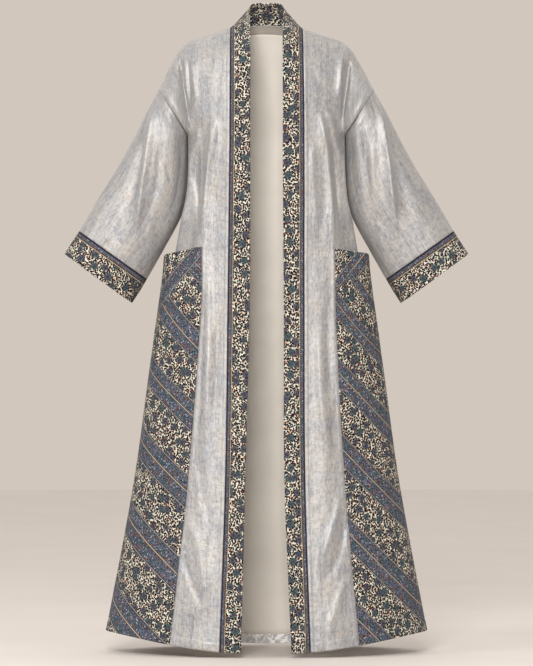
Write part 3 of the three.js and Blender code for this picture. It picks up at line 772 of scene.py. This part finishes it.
def line_beside(sheet, edge, distance):
    """Points and normals on a piece, on a line `distance` in from one of its edges."""
    outer, inner = sheet["outer"], sheet["inner"]
    gap = edge_distance(sheet["cloth"], edge)
    if edge in ("bottom", "top"):
        outer, inner, gap = outer.swapaxes(0, 1), inner.swapaxes(0, 1), gap.T
    if edge in ("last", "top"):
        outer, inner, gap = outer[::-1], inner[::-1], gap[::-1]
    points, normals = [], []
    for j in range(gap.shape[1]):
        at = np.interp(distance, gap[:, j], np.arange(gap.shape[0]))
        low = min(int(at), gap.shape[0] - 2)
        here = mix(outer[low, j], outer[low + 1, j], at - low)
        under = mix(inner[low, j], inner[low + 1, j], at - low)
        points.append(here)
        normals.append((here - under) / np.linalg.norm(here - under))
    return np.array(points), np.array(normals)


def stitches(name, lines, thread, length=THREAD["length"]):
    """Rows of short thread stitches that lie on the cloth along each line."""
    vertices, faces = [], []
    gap = THREAD["gap"]
    for points, normals in lines:
        along = length_along(points)
        count = int((along[-1] - 2) / (length + gap))
        starts = 1 + np.arange(count) * (length + gap)
        ends = []
        for part in (0, 0.2, 0.8, 1):
            at = starts + part * length
            values = (points, normals)
            ends.append([np.stack([np.interp(at, along, row) for row in v.T], -1) for v in values])
        for k in range(count):
            first = len(vertices)
            way = ends[3][0][k] - ends[0][0][k]
            for part, (spots, ups) in enumerate(ends):
                up = ups[k]
                across = np.cross(way, up)
                across /= max(np.linalg.norm(across), 1e-9)
                centre = spots[k] + up * THREAD["raised"]
                if part in (0, 3):
                    vertices.append(centre - up * THREAD["sunk"])
                    continue
                for turn in range(6):
                    wide = across * THREAD["wide"] * math.cos(turn * math.pi / 3)
                    vertices.append(centre + wide + up * THREAD["high"] * math.sin(turn * math.pi / 3))
            for turn in range(6):
                after = (turn + 1) % 6
                faces.append((first, first + 1 + after, first + 1 + turn))
                faces.append((first + 1 + turn, first + 1 + after, first + 7 + after, first + 7 + turn))
                faces.append((first + 13, first + 7 + turn, first + 7 + after))
    return add_object(name, smooth_mesh(name, np.array(vertices), faces, [thread]))


def add_node(tree, kind, inputs=(), **settings):
    """A new node, with each input linked to a socket or set to a value."""
    made = tree.nodes.new(f"ShaderNode{kind}")
    for name, value in settings.items():
        setattr(made, name, value)
    for key, value in dict(inputs).items():
        if isinstance(value, bpy.types.NodeSocket):
            tree.links.new(value, made.inputs[key])
        else:
            made.inputs[key].default_value = value
    return made


class Look:
    """The material of one cloth, with short calls for its nodes. Lengths are in metres."""

    def __init__(self, name, roughness, sheen=0.0):
        self.material = bpy.data.materials.new(name)
        self.material.use_nodes = True
        self.tree = self.material.node_tree
        self.shader = self.tree.nodes["Principled BSDF"]
        self.shader.inputs["Roughness"].default_value = roughness
        self.shader.inputs["Sheen Weight"].default_value = sheen
        self.shader.inputs["Sheen Roughness"].default_value = 0.45
        self.shader.inputs["Specular IOR Level"].default_value = 0.12
        self.place = self.node("UVMap", uv_map="cloth").outputs["UV"]

    def node(self, kind, inputs=(), **settings):
        return add_node(self.tree, kind, inputs, **settings)

    def math(self, operation, a, b=0.0):
        return self.node("Math", {0: a, 1: b}, operation=operation).outputs[0]

    def rise(self, value, low, high):
        """0 below `low`, 1 above `high`, smooth between."""
        inputs = {"Value": value, "From Min": low, "From Max": high}
        return self.node("MapRange", inputs, interpolation_type="SMOOTHSTEP").outputs[0]

    def within(self, value, low, high, soft=0.0003):
        above = self.rise(value, low - soft, low + soft)
        below = self.rise(value, high + soft, high - soft)
        return self.math("MULTIPLY", above, below)

    def blend(self, a, b, factor):
        return self.node("Mix", {0: factor, 6: a, 7: b}, data_type="RGBA").outputs[2]

    def tint(self, colour, other, value, start, end, share=1.0):
        """Blend `share` of another colour in as a value goes from `start` to `end`."""
        factor = self.rise(value, start, end)
        return self.blend(colour, other, factor if share == 1 else self.math("MULTIPLY", factor, share))

    def product(self, a, b):
        return self.math("MULTIPLY", a, b)

    def scaled(self, place, x, y):
        return self.node("Mapping", {"Vector": place, "Scale": (x, y, 1)}).outputs[0]

    def noise(self, place, scale, detail=2.0, rough=0.5, output="Fac"):
        inputs = {"Vector": place, "Scale": scale, "Detail": detail, "Roughness": rough}
        return self.node("TexNoise", inputs, noise_dimensions="2D").outputs[output]

    def cells(self, place, scale, scatter=1.0):
        inputs = {"Vector": place, "Scale": scale, "Randomness": scatter}
        return self.node("TexVoronoi", inputs, voronoi_dimensions="2D")

    def bend(self, place, scale, amount):
        """The place moved about softly by up to half of `amount`."""
        shift = self.noise(place, scale, 1, output="Color")
        centred = self.vector("SUBTRACT", {0: shift, 1: (0.5, 0.5, 0.5)})
        return self.vector("ADD", {0: place, 1: self.vector("SCALE", {0: centred, "Scale": amount})})

    def vector(self, operation, inputs):
        return self.node("VectorMath", inputs, operation=operation).outputs[0]

    def channels(self, vector):
        return self.node("SeparateXYZ", {0: vector}).outputs

    def finish(self, colour, height, distance, strength=1.0, roughness=None):
        bump = self.node("Bump", {"Height": height, "Distance": distance, "Strength": strength})
        self.tree.links.new(colour, self.shader.inputs["Base Color"])
        self.tree.links.new(bump.outputs[0], self.shader.inputs["Normal"])
        if roughness is not None:
            self.tree.links.new(roughness, self.shader.inputs["Roughness"])
        return self.material


def weave(look, pitch=1900.0):
    """Height of crossed threads, with slubs in both directions."""
    warp = look.noise(look.scaled(look.place, pitch, pitch / 9), 1, 1)
    weft = look.noise(look.scaled(look.place, pitch / 9, pitch), 1, 1)
    return look.product(look.math("ADD", warp, weft), 0.5)


def grey_cloth():
    look = Look("grey_cloth", 0.45, 0.15)
    look.shader.inputs["Specular IOR Level"].default_value = 0.8
    look.shader.inputs["Metallic"].default_value = 0.25
    clouds = look.noise(look.place, 13, 5, 0.62)
    blotches = look.noise(look.bend(look.place, 20, 0.03), 42, 4, 0.6)
    specks = look.noise(look.scaled(look.place, 230, 95), 1, 3, 0.75)
    warp_slub = look.noise(look.scaled(look.place, 480, 30), 1, 3)
    weft_slub = look.noise(look.scaled(look.place, 30, 560), 1, 3)
    streaks = look.noise(look.scaled(look.bend(look.place, 9, 0.02), 90, 7), 1, 3)
    colour = look.blend(paint(150, 151, 154), paint(168, 165, 162), look.rise(clouds, 0.36, 0.64))
    # Each tint grows as its noise goes from the middle to a given value, up to a given share
    for tone, noise, full, share in (
        ((175, 163, 151), blotches, 0.7, 0.4),
        ((136, 142, 154), blotches, 0.3, 0.4),
        ((182, 180, 178), streaks, 0.75, 0.5),
        ((120, 119, 121), streaks, 0.25, 0.5),
        ((192, 189, 186), specks, 0.72, 0.5),
        ((100, 98, 100), specks, 0.28, 0.5),
        ((190, 188, 186), warp_slub, 0.8, 0.4),
        ((106, 105, 106), weft_slub, 0.2, 0.35),
    ):
        colour = look.tint(colour, paint(*tone), noise, 0.5, full, share)
    crumple = look.noise(look.bend(look.place, 30, 0.012), 48, 4, 0.55)
    threads = look.product(weave(look), 0.12)
    slubs = look.product(look.math("ADD", warp_slub, weft_slub), 0.06)
    height = look.math("ADD", look.math("ADD", crumple, threads), slubs)
    roughness = look.math("ADD", look.product(specks, 0.2), 0.36)
    return look.finish(colour, height, 0.0019, 0.8, roughness)


def plain_cloth(name, light, dark, pitch=1500.0):
    look = Look(name, 0.8, 0.15)
    clouds = look.noise(look.place, 9, 3)
    threads = weave(look, pitch)
    colour = look.blend(light, dark, look.rise(clouds, 0.3, 0.7))
    colour = look.tint(colour, dark, threads, 0.5, 0.35, 0.5)
    return look.finish(colour, threads, 0.0005, 0.6)


def turned_hem_painted_light():
    """The grey cloth's crumpled wrong side as a lit copy of it: painted much lighter than the grey cloth,
    with painted highlights where the crumples rise and painted shade where they sink.
    """
    look = Look("turned_hem_painted_light", 0.6, 0.1)
    crumple = look.noise(look.bend(look.place, 40, 0.01), 75, 3, 0.6)
    # Painted light and shade: near white on the crumples' crests, greyer in their hollows
    colour = look.blend(paint(190, 189, 188), paint(252, 250, 248), look.rise(crumple, 0.4, 0.6))
    return look.finish(colour, crumple, 0.003)


def thread_material():
    look = Look("thread", 0.6, 0.2)
    place = look.node("TexCoord").outputs["Object"]
    twist = look.node("TexWave", {"Vector": place, "Scale": 900.0, "Distortion": 1.0}).outputs["Fac"]
    colour = look.blend(paint(214, 212, 208), paint(182, 181, 178), twist)
    return look.finish(colour, twist, 0.0002)


def marks(look, bent, scale, reach):
    """Small close-set dots joined by short stems, as their cover and their dark colours."""
    dots = look.cells(look.scaled(bent, 1, 0.85), scale)
    pick_x, pick_y, _ = look.channels(dots.outputs["Color"])
    vine = look.math("ABSOLUTE", look.math("SUBTRACT", look.noise(bent, scale * 0.6, 1), 0.5))
    spots = look.rise(dots.outputs["Distance"], reach + 0.03, reach - 0.03)
    cover = look.math("MAXIMUM", spots, look.rise(vine, 0.024, 0.012))
    colour = look.tint(paint(20, 16, 24), paint(60, 20, 32), pick_x, 0.8, 0.82)
    colour = look.tint(colour, paint(34, 56, 60), pick_y, 0.76, 0.78)
    colour = look.tint(colour, paint(76, 58, 50), pick_y, 0.9, 0.92)
    return cover, colour


def flowers(look, ground, cover, dark):
    """Small muted flowers, some teal with a dark red heart, set in close dark leaves."""
    cell = look.cells(look.place, 37, 0.85)
    local = look.vector("SUBTRACT", {0: look.place, 1: cell.outputs["Position"]})
    x, y, _ = look.channels(local)
    radius = look.node("VectorMath", {0: local}, operation="LENGTH").outputs["Value"]
    pick_x, pick_y, _ = look.channels(cell.outputs["Color"])
    turn = look.product(look.math("ARCTAN2", y, x), 5.0)
    turn = look.math("ADD", turn, look.product(pick_x, 6.0))
    petals = look.product(look.math("COSINE", turn), 0.0012)
    size = look.product(pick_y, 0.0022)
    rim = look.math("SUBTRACT", radius, look.math("ADD", petals, size))
    leaves = look.product(look.rise(rim, 0.0086, 0.007), 0.7)
    colour = look.blend(ground, dark, look.math("MAXIMUM", cover, leaves))
    veins = look.noise(look.place, 380, 2)
    shade = look.rise(veins, 0.36, 0.66)
    teal = look.blend(paint(34, 56, 62), paint(76, 106, 110), shade)
    slate_petal = look.blend(paint(46, 50, 62), paint(92, 96, 108), shade)
    is_slate = look.rise(pick_x, 0.44, 0.46)
    petal = look.blend(teal, slate_petal, is_slate)
    petal = look.blend(petal, paint(36, 34, 44), look.product(cover, 0.3))
    colour = look.tint(colour, petal, rim, 0.0058, 0.0048)
    heart = look.blend(paint(84, 32, 50), paint(52, 38, 48), is_slate)
    return look.tint(colour, heart, radius, 0.0024, 0.0017)


def sprinkled(look, colour, other, scale, reach, pick):
    """Dots of another colour in a few cells: `pick` is a random channel and the value to pass."""
    dots = look.cells(look.place, scale)
    channel, least = pick
    value = look.channels(dots.outputs["Color"])[channel]
    dot = look.rise(dots.outputs["Distance"], *reach)
    return look.blend(colour, other, look.product(dot, look.rise(value, least, least + 0.02)))


def floral(look):
    """Dense dark leaves and dots on cream, with a few peach specks and small flowers."""
    tone = look.noise(look.place, 90, 3)
    ground = look.tint(paint(221, 214, 197), paint(190, 188, 174), tone, 0.44, 0.62)
    ground = sprinkled(look, ground, paint(196, 156, 130), 120, (0.42, 0.34), (0, 0.84))
    cover, dark = marks(look, look.bend(look.place, 150, 0.002), 270, 0.5)
    return flowers(look, ground, cover, dark)


def slate(look):
    """Slate blue with dense plum specks and clouds of teal and brown."""
    tone = look.noise(look.place, 50, 3)
    colour = look.tint(paint(80, 90, 102), paint(98, 100, 120), tone, 0.38, 0.62)
    clouds = look.noise(look.bend(look.place, 60, 0.01), 80, 2)
    colour = look.tint(colour, paint(66, 92, 96), clouds, 0.52, 0.64, 0.8)
    colour = look.tint(colour, paint(104, 82, 72), clouds, 0.46, 0.36, 0.7)
    cover, dark = marks(look, look.bend(look.place, 150, 0.004), 270, 0.34)
    colour = look.blend(colour, dark, look.product(cover, 0.85))
    return sprinkled(look, colour, paint(140, 144, 154), 230, (0.4, 0.3), (2, 0.86))


def beads(look, along, period=0.0046):
    """1 on each bead of a row and 0 between them."""
    wave = look.math("SINE", look.product(along, 2 * math.pi / period))
    return look.rise(wave, -0.5, 0.1)


def print_finish(look, colour):
    threads = weave(look, 1700)
    crumple = look.noise(look.place, 45, 3)
    height = look.math("ADD", look.product(threads, 0.25), crumple)
    return look.finish(colour, height, 0.0012, 0.7)


def edged_print(name, axis, stripe=1.0):
    """The print with its narrow stripe beside the seam. `axis` is the map's axis away from it."""
    look = Look(name, 0.8, 0.04)
    axes = look.channels(look.place)
    across, along = look.math("DIVIDE", axes[axis], stripe), axes[1 - axis]
    scallop = look.product(look.math("SINE", look.product(along, 2 * math.pi / 0.0052)), 0.0005)
    edge = look.math("ADD", across, scallop)
    bead = beads(look, along)
    colour = floral(look)
    colour = look.blend(colour, paint(172, 156, 126), look.within(across, 0.0102, 0.0112))
    brown = look.blend(paint(104, 84, 70), paint(38, 32, 40), bead)
    colour = look.tint(colour, brown, across, 0.0103, 0.0099)
    lilac = look.blend(paint(88, 90, 106), slate(look), 0.75)
    colour = look.tint(colour, lilac, edge, 0.0080, 0.0074)
    colour = look.tint(colour, paint(36, 32, 42), edge, 0.0034, 0.0028)
    return print_finish(look, colour)


def plain_print(name):
    look = Look(name, 0.8, 0.04)
    return print_finish(look, floral(look))


def panel_print(side):
    """The print of a side panel: broad diagonal stripes, and one across them at the top."""
    look = Look(f"panel_print_{side}", 0.8, 0.04)
    corner = CORNER[side]
    phase, depth, _ = look.channels(look.node("UVMap", uv_map="stripes").outputs["UV"])
    down = look.channels(look.place)[1]
    bead = beads(look, down, 0.005)
    flowered = floral(look)
    blue = slate(look)
    dark = paint(44, 38, 50)
    gold = paint(168, 152, 124)
    pale = paint(150, 146, 136)
    nearest = look.math("ROUND", phase)
    away = look.math("ABSOLUTE", look.math("SUBTRACT", phase, nearest))
    beaded = look.blend(paint(104, 98, 98), dark, bead)
    colour = flowered
    for tone, start, end in (
        (beaded, 0.218, 0.214), (pale, 0.207, 0.204), (dark, 0.198, 0.195),
        (blue, 0.187, 0.183), (dark, 0.017, 0.014), (gold, 0.009, 0.006),
    ):
        colour = look.tint(colour, tone, away, start, end)
    width = corner["width"] / 1000
    middle = (corner["gold"] if corner["gold"] > 0 else corner["width"] / 2) / 1000
    crossing = look.blend(flowered, beaded, look.within(depth, -0.002, width + 0.002))
    crossing = look.blend(crossing, pale, look.within(depth, 0.0, width))
    crossing = look.blend(crossing, blue, look.within(depth, 0.001, width - 0.001))
    crossing = look.blend(crossing, beaded, look.within(depth, middle - 0.0016, middle + 0.0016))
    if corner["gold"] > 0:
        crossing = look.blend(crossing, gold, look.within(depth, middle - 0.0008, middle + 0.0008))
    covered = look.rise(depth, width + 0.0022, width + 0.0016)
    before = look.rise(phase, corner["start"] + 0.004, corner["start"] - 0.004)
    colour = look.blend(colour, crossing, look.math("MAXIMUM", covered, before))
    return print_finish(look, colour)


def front_columns():
    return spread((0, 0), (0.07, 9), (0.38, 26), (EDGE_COLUMN, 12), (0.5, 6), (0.95, 44), (1, 8))


def skirt_levels():
    return list(spread((0, 0), (0.026, 7), (1, 132)))


def upper_levels(top, count):
    return list(spread((1, 0), (2, 40), (top, count)))[1:]


def body_lines():
    """Lines of the whole back from the right side seam over the centre to the left one."""
    outward = spread((0, 0), (0.41, 14), (0.5, 6), (0.95, 20), (1, 5))
    neck = spread((0, 0), (-1, 16))[1:]
    return [("right", c) for c in outward[::-1]] + [("right", c) for c in neck[:-1]] \
        + [("left", c) for c in neck[::-1]] + [("left", c) for c in outward]


def back_points(lines, levels):
    """`points(out)` of a piece on the back, whose lines lie on both sides."""
    levels = np.array(levels)[None, :]

    def points(out):
        out = np.broadcast_to(np.asarray(out, float), (len(lines), levels.shape[1]))
        grid = np.zeros((len(lines), levels.shape[1], 3))
        for side in SIDES:
            for group in (True, False):
                chosen = [k for k, (own, c) in enumerate(lines) if own == side and (c < 0) == group]
                if chosen:
                    columns = np.array([lines[k][1] for k in chosen])[:, None]
                    capped = np.minimum(levels, 3) if group else levels
                    grid[chosen] = body_points(side, BACK, columns, capped, out[chosen])
        return grid

    return points


def front(side, looks):
    columns = front_columns()[:, None]
    levels = np.array(skirt_levels() + upper_levels(SHOULDER_SEAM, 60))[None, :]
    points = lambda out: body_points(side, FRONT, columns, levels, out)
    edges = [("first", "topstitched"), ("last", "seam"), ("top", "seam"), ("bottom", "hem")]
    sheet = make_sheet(points, CLOTH, edges, ["last", "top"])
    made = cloth_piece(f"cloth_front_{side}", sheet, [looks["grey"]], shift=(SHIFT[side], 0))
    # The part of the skirt that the side panel leaves in sight
    edge = int(np.argmin(np.abs(columns[:, 0] - EDGE_COLUMN)))
    strip = {name: grid[:edge + 1] for name, grid in sheet.items()}
    beside_panel = {name: grid[:, :len(skirt_levels())] for name, grid in strip.items()}
    lines = [
        line_beside(sheet, "first", TOPSTITCH),
        line_beside(beside_panel, "last", STITCHED_IN["beside_panel"]),
        line_beside(strip, "bottom", HEM["turned"]),
    ]
    return made, stitches(f"stitching_front_{side}", lines, looks["thread"])


def back(looks):
    lines = body_lines()
    over = list(spread((SHOULDER_SEAM, 0), (3, 10)))[1:]
    ridge = list(spread((3, 0), (6 - SHOULDER_SEAM, 8)))[1:]
    levels = skirt_levels() + upper_levels(SHOULDER_SEAM, 52) + over + ridge
    ridge_row = len(levels) - len(ridge) - 1
    points = back_points(lines, levels)
    edges = [("first", "seam"), ("last", "seam"), ("bottom", "hem")]
    sheet = make_sheet(points, CLOTH, edges, ["first", "last", "top"])
    shoulder = np.array([lines[k][1] >= 0 and lines[k + 1][1] >= 0 for k in range(len(lines) - 1)])
    centre = sheet["cloth"][len(lines) // 2] * (1, 0)
    keep = (np.arange(len(levels) - 1) < ridge_row) | shoulder[:, None]
    made = cloth_piece("cloth_back", sheet, [looks["grey"]], keep, shift=-centre)
    threads = [line_beside(sheet, "bottom", HEM["turned"])]
    for side in SIDES:
        chosen = [k for k, (own, c) in enumerate(lines) if own == side and c >= 0]
        part = {name: grid[chosen] for name, grid in sheet.items()}
        threads.append(line_beside(part, "top", STITCHED_IN["shoulder"]))
    return made, stitches("stitching_back", threads, looks["thread"])


def inside_back(name, lines, levels, look, trims, inward=0):
    """A thin piece that lies inside the back, with its inner face as a sheet of its own for stitches."""
    grid = back_points(lines, levels)
    sheet = make_sheet(lambda out: grid(out - SOLID_CLOTH - LINED - inward), LINING, [], trims)
    facing = {"outer": sheet["inner"], "inner": sheet["outer"], "cloth": sheet["cloth"]}
    return cloth_piece(name, sheet, [look]), facing


def back_lining(looks):
    lines = body_lines()[::2]
    levels = spread((TURN_LEVEL, 0), (1, 60), (2, 18), (TAPE_LEVEL, 24))
    columns = np.array([c for _, c in lines])[:, None]
    # It lies deeper by up to a millimetre at the armholes, and by half of one on the centre line
    at_arms = np.where(levels >= 2, np.maximum(columns, 0), 0)
    at_centre = 0.5 * np.exp(-(((columns + 1) / 0.03) ** 2))
    inward = at_arms + at_centre
    made, facing = inside_back("cloth_back_lining", lines, levels, looks["lining"], ALL_ROUND, inward)
    row = line_beside(facing, "bottom", STITCHED_IN["lining"])
    return made, stitches("stitching_lining", [row], looks["thread"])


def back_hem_turnup(looks):
    levels = spread((0, 0), (TURN_LEVEL, 5))
    return inside_back("cloth_back_hem", body_lines(), levels, looks["hem"], ALL_ROUND)[0], None


def neck_tape(looks):
    lines = [(side, c) for side, c in body_lines() if c < -0.1]
    levels = spread((TAPE_LEVEL, 0), (2.998, 10))
    made, facing = inside_back("cloth_neck_tape", lines, levels, looks["tape"], ["bottom", "top"])
    rows = [line_beside(facing, edge, STITCHED_IN["tape"]) for edge in ("bottom", "top")]
    return made, stitches("stitching_tape", rows, looks["thread"], 2.2)


def stripe_map(side, cloth, grid, middle):
    """Phase of the diagonal stripes, and depth below the corner stripe's upper edge."""
    x, z = np.abs(grid[..., 0]), grid[..., 2]
    outward = cloth[..., 0] * 1000
    in_front = np.minimum(np.arange(len(grid)), middle)
    seen = x[in_front] - x[:1]
    turned = outward[in_front]
    mixed = mix(seen, turned, STRIPE[side]["along"]) + (outward - turned)
    rise = STRIPE[side]["rise"] * (1 + 0.2 * ease(z, -760, -600))
    level = z + rise * mixed if side == "left" else z - rise * mixed
    heights = np.array(GOLD_LINES[side], float)
    phase = np.interp(-level, -heights, np.arange(len(heights)) - 1.0)
    folded = 0.5 * seen + 0.5 * turned - np.maximum(outward - turned, 0)
    place = folded / 1.15
    corner = CORNER[side]
    (start_x, start_z), (end_x, end_z) = corner["from"], corner["to"]
    length = math.hypot(end_x - start_x, end_z - start_z)
    cross = ((end_x - start_x) * (z - start_z) - (end_z - start_z) * (place - start_x)) / length
    depth = cross if side == "right" else -cross
    if side == "left":
        # Near the panel's inner edge only the upper half of this corner stripe shows
        below = np.maximum(depth - corner["gold"], 0)
        depth = depth + below * 7 * (1 - ease(place, 20, 42))
    return np.stack([phase, depth / 1000], -1)


def side_panel(side, looks):
    columns = spread((EDGE_COLUMN, 0), (0.5, 4), (0.95, 28), (1, 5))
    levels = np.array(skirt_levels())[None, :]
    halves = [(FRONT, columns), (BACK, columns[-2::-1])]

    def points(out):
        grids, first = [], 0
        for face, own in halves:
            column = own[:, None]
            z = smooth_body(side, face, column, levels)[..., 2]
            stand = np.maximum(follow(STAND_OFF, "z", "out", z), 0) * ease(column, EDGE_COLUMN, 1)
            extra = out[first:first + len(own)] if np.ndim(out) else out
            lift = LAID + SOLID_CLOTH + stand + extra
            grids.append(body_points(side, face, column, levels, lift))
            first += len(own)
        return np.concatenate(grids)

    sheet = make_sheet(points, CLOTH, [("top", "hem"), ("bottom", "hem")])
    stripes = stripe_map(side, sheet["cloth"], sheet["outer"], len(columns) - 1)
    look = looks[f"panel_{side}"]
    made = cloth_piece(f"cloth_side_panel_{side}", sheet, [look], stripes=stripes, shift=(SHIFT[side], 0))
    lines = [line_beside(sheet, edge, STITCHED_IN["panel"]) for edge in ("first", "last")]
    return made, stitches(f"stitching_panel_{side}", lines, looks["dark_thread"], 2.4)


def tube_sheet(side, steps, wall, edges, trims):
    half = spread((0, 0), (0.02, 1), (0.2, 12), (0.8, 44), (1, 16))
    turns = np.concatenate([half, 2 - half[-2:0:-1]])[:, None]
    along = np.array(steps)[None, :]
    points = lambda out: sleeve_points(side, turns, along, out)
    return make_sheet(points, wall, edges, trims)


def sleeve(side, looks):
    steps = spread((0, 0), (0.1, 4), (4.85, 76), (5, 4))
    sheet = tube_sheet(side, steps, CLOTH, [("bottom", "seam"), ("top", "seam")], ["bottom"])
    made = cloth_piece(f"cloth_sleeve_{side}", sheet, [looks["grey"]], wraps=True, shift=(SHIFT[side], 2))
    row = line_beside(sheet, "top", TOPSTITCH)
    return made, stitches(f"stitching_sleeve_{side}", [row], looks["thread"])


def cuff(side, looks):
    steps = spread((5, 0), (5.1, 3), (5.9, 11), (6, 3))
    sheet = tube_sheet(side, steps, DOUBLED, [("bottom", "seam")], ["bottom"])
    prints = [looks["cuff"], looks["print"]]
    return cloth_piece(f"cloth_cuff_{side}", sheet, prints, wraps=True, shift=(SHIFT[side] + 1, 0)), None


def front_band(side, looks):
    across = spread((0, 0), (0.08, 2), (0.92, 9), (1, 2))[:, None]
    levels = np.array(skirt_levels() + upper_levels(3, 64) + list(spread((3, 0), (4, 44)))[1:])
    points = lambda out: band_points(side, across, levels[None, :], out)
    sheet = make_sheet(points, DOUBLED, [("first", "seam"), ("top", "seam")], ["top"])
    prints = [looks["band"], looks["print"]]
    return cloth_piece(f"cloth_band_{side}", sheet, prints, shift=(0, SHIFT[side] + 2)), None


def add_piece(made, thread, nodes, slot, width, length, area):
    """Tie a piece and its stitching to the frame, and hide the solids it stands for. The size that its
    cloth is cut to is not used.
    """
    threads = [thread] if thread else []
    for part in threads + [made]:
        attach(part, "root")
    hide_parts(*nodes)


def make_looks():
    return {
        "grey": grey_cloth(),
        "lining": plain_cloth("plain_lining", paint(238, 231, 221), paint(231, 224, 214)),
        "tape": plain_cloth("neck_tape", paint(186, 178, 168), paint(160, 152, 143), 900),
        # The turned hem's look is the grey cloth painted lighter, with painted highlights and shade on
        # its crumples
        "hem": turned_hem_painted_light(),
        "thread": thread_material(),
        "dark_thread": plain_cloth("dark_thread", paint(96, 92, 98), paint(60, 56, 66)),
        "band": edged_print("band_print", 0),
        "cuff": edged_print("cuff_print", 1, 1.3),
        "print": plain_print("floral_print"),
        "panel_right": panel_print("right"),
        "panel_left": panel_print("left"),
    }


def dress():
    looks = make_looks()
    add_piece(*back(looks), ["back"], "grey_cloth", *CUT["back"])
    add_piece(*back_lining(looks), ["back_lining"], "plain_lining", *CUT["back_lining"])
    add_piece(*back_hem_turnup(looks), ["back_hem_turnup"], "grey_cloth", *CUT["back_hem"])
    add_piece(*neck_tape(looks), ["neck_tape"], "plain_lining", *CUT["neck_tape"])
    for side in SIDES:
        halves = [f"front_{side}", f"front_skirt_{side}"]
        add_piece(*front(side, looks), halves, "grey_cloth", *CUT["front"])
        add_piece(*sleeve(side, looks), [f"sleeve_{side}"], "grey_cloth", *CUT["sleeve"])
        add_piece(*cuff(side, looks), [f"cuff_{side}"], "floral_print", *CUT["cuff"])
        strips = [f"front_band_{side}", f"shoulder_band_{side}", f"collar_{side}"]
        add_piece(*front_band(side, looks), strips, "floral_print", *CUT["band"])
        add_piece(*side_panel(side, looks), [f"side_panel_{side}"], "floral_print", *CUT["side_panel"])


def add_camera():
    data = bpy.data.cameras.new("camera")
    data.lens = SENSOR * CAMERA_DISTANCE / VIEW_HEIGHT
    data.sensor_width = SENSOR
    data.clip_end = 100
    camera = add_object("camera", data)
    camera.location = (0, -CAMERA_DISTANCE / 1000, CAMERA_HEIGHT / 1000)
    camera.rotation_euler = (math.pi / 2, 0, 0)
    bpy.context.scene.camera = camera


def add_light(name, place, size, power, colour):
    data = bpy.data.lights.new(name, "AREA")
    data.size = size
    data.energy = power
    data.color = colour
    light = add_object(name, data)
    light.location = place
    x, y, z = np.array(LIGHT_AIM) - np.array(place)
    light.rotation_euler = (math.atan2(math.hypot(x, y), -z), 0, math.atan2(y, x) - math.pi / 2)


def add_world():
    """A plain wall colour for the camera, with soft light from above and behind for the robe."""
    world = bpy.data.worlds.new("studio")
    world.use_nodes = True
    tree = world.node_tree
    wall = tree.nodes["Background"]
    wall.inputs["Color"].default_value = paint(210, 199, 189)
    direction = add_node(tree, "TexCoord").outputs["Generated"]
    way = add_node(tree, "SeparateXYZ", {0: direction}).outputs
    upward = {"Value": way["Z"], "To Min": FILL["level"], "To Max": FILL["overhead"]}
    overhead = add_node(tree, "MapRange", upward).outputs[0]
    behind = add_node(tree, "MapRange", {"Value": way["Y"], "To Max": FILL["behind"]}).outputs[0]
    strength = add_node(tree, "Math", {0: overhead, 1: behind}).outputs[0]
    fill = add_node(tree, "Background", {"Color": paint(243, 238, 232), "Strength": strength})
    seen = add_node(tree, "LightPath").outputs["Is Camera Ray"]
    pick = add_node(tree, "MixShader", {0: seen, 1: fill.outputs[0], 2: wall.outputs[0]})
    tree.links.new(pick.outputs[0], tree.nodes["World Output"].inputs["Surface"])
    bpy.context.scene.world = world


def add_floor():
    bpy.ops.mesh.primitive_circle_add(vertices=256, radius=FLOOR_RADIUS / 1000, fill_type="NGON")
    floor = bpy.context.object
    floor.name = "floor"
    floor.location = (0, 0, cad_box[0][2] - FLOOR_GAP / 1000)
    look = Look("floor", 0.7)
    ground = look.node("TexCoord").outputs["Object"]
    tone = look.noise(ground, 3, 3)
    colour = look.blend(paint(222, 214, 208), paint(215, 207, 201), tone)
    floor.data.materials.append(look.finish(colour, tone, 0.001))


add_camera()
add_world()
add_floor()
for light_name, light in LIGHTS.items():
    add_light(light_name, **light)
bpy.context.scene.view_settings.view_transform = "Standard"
dress()
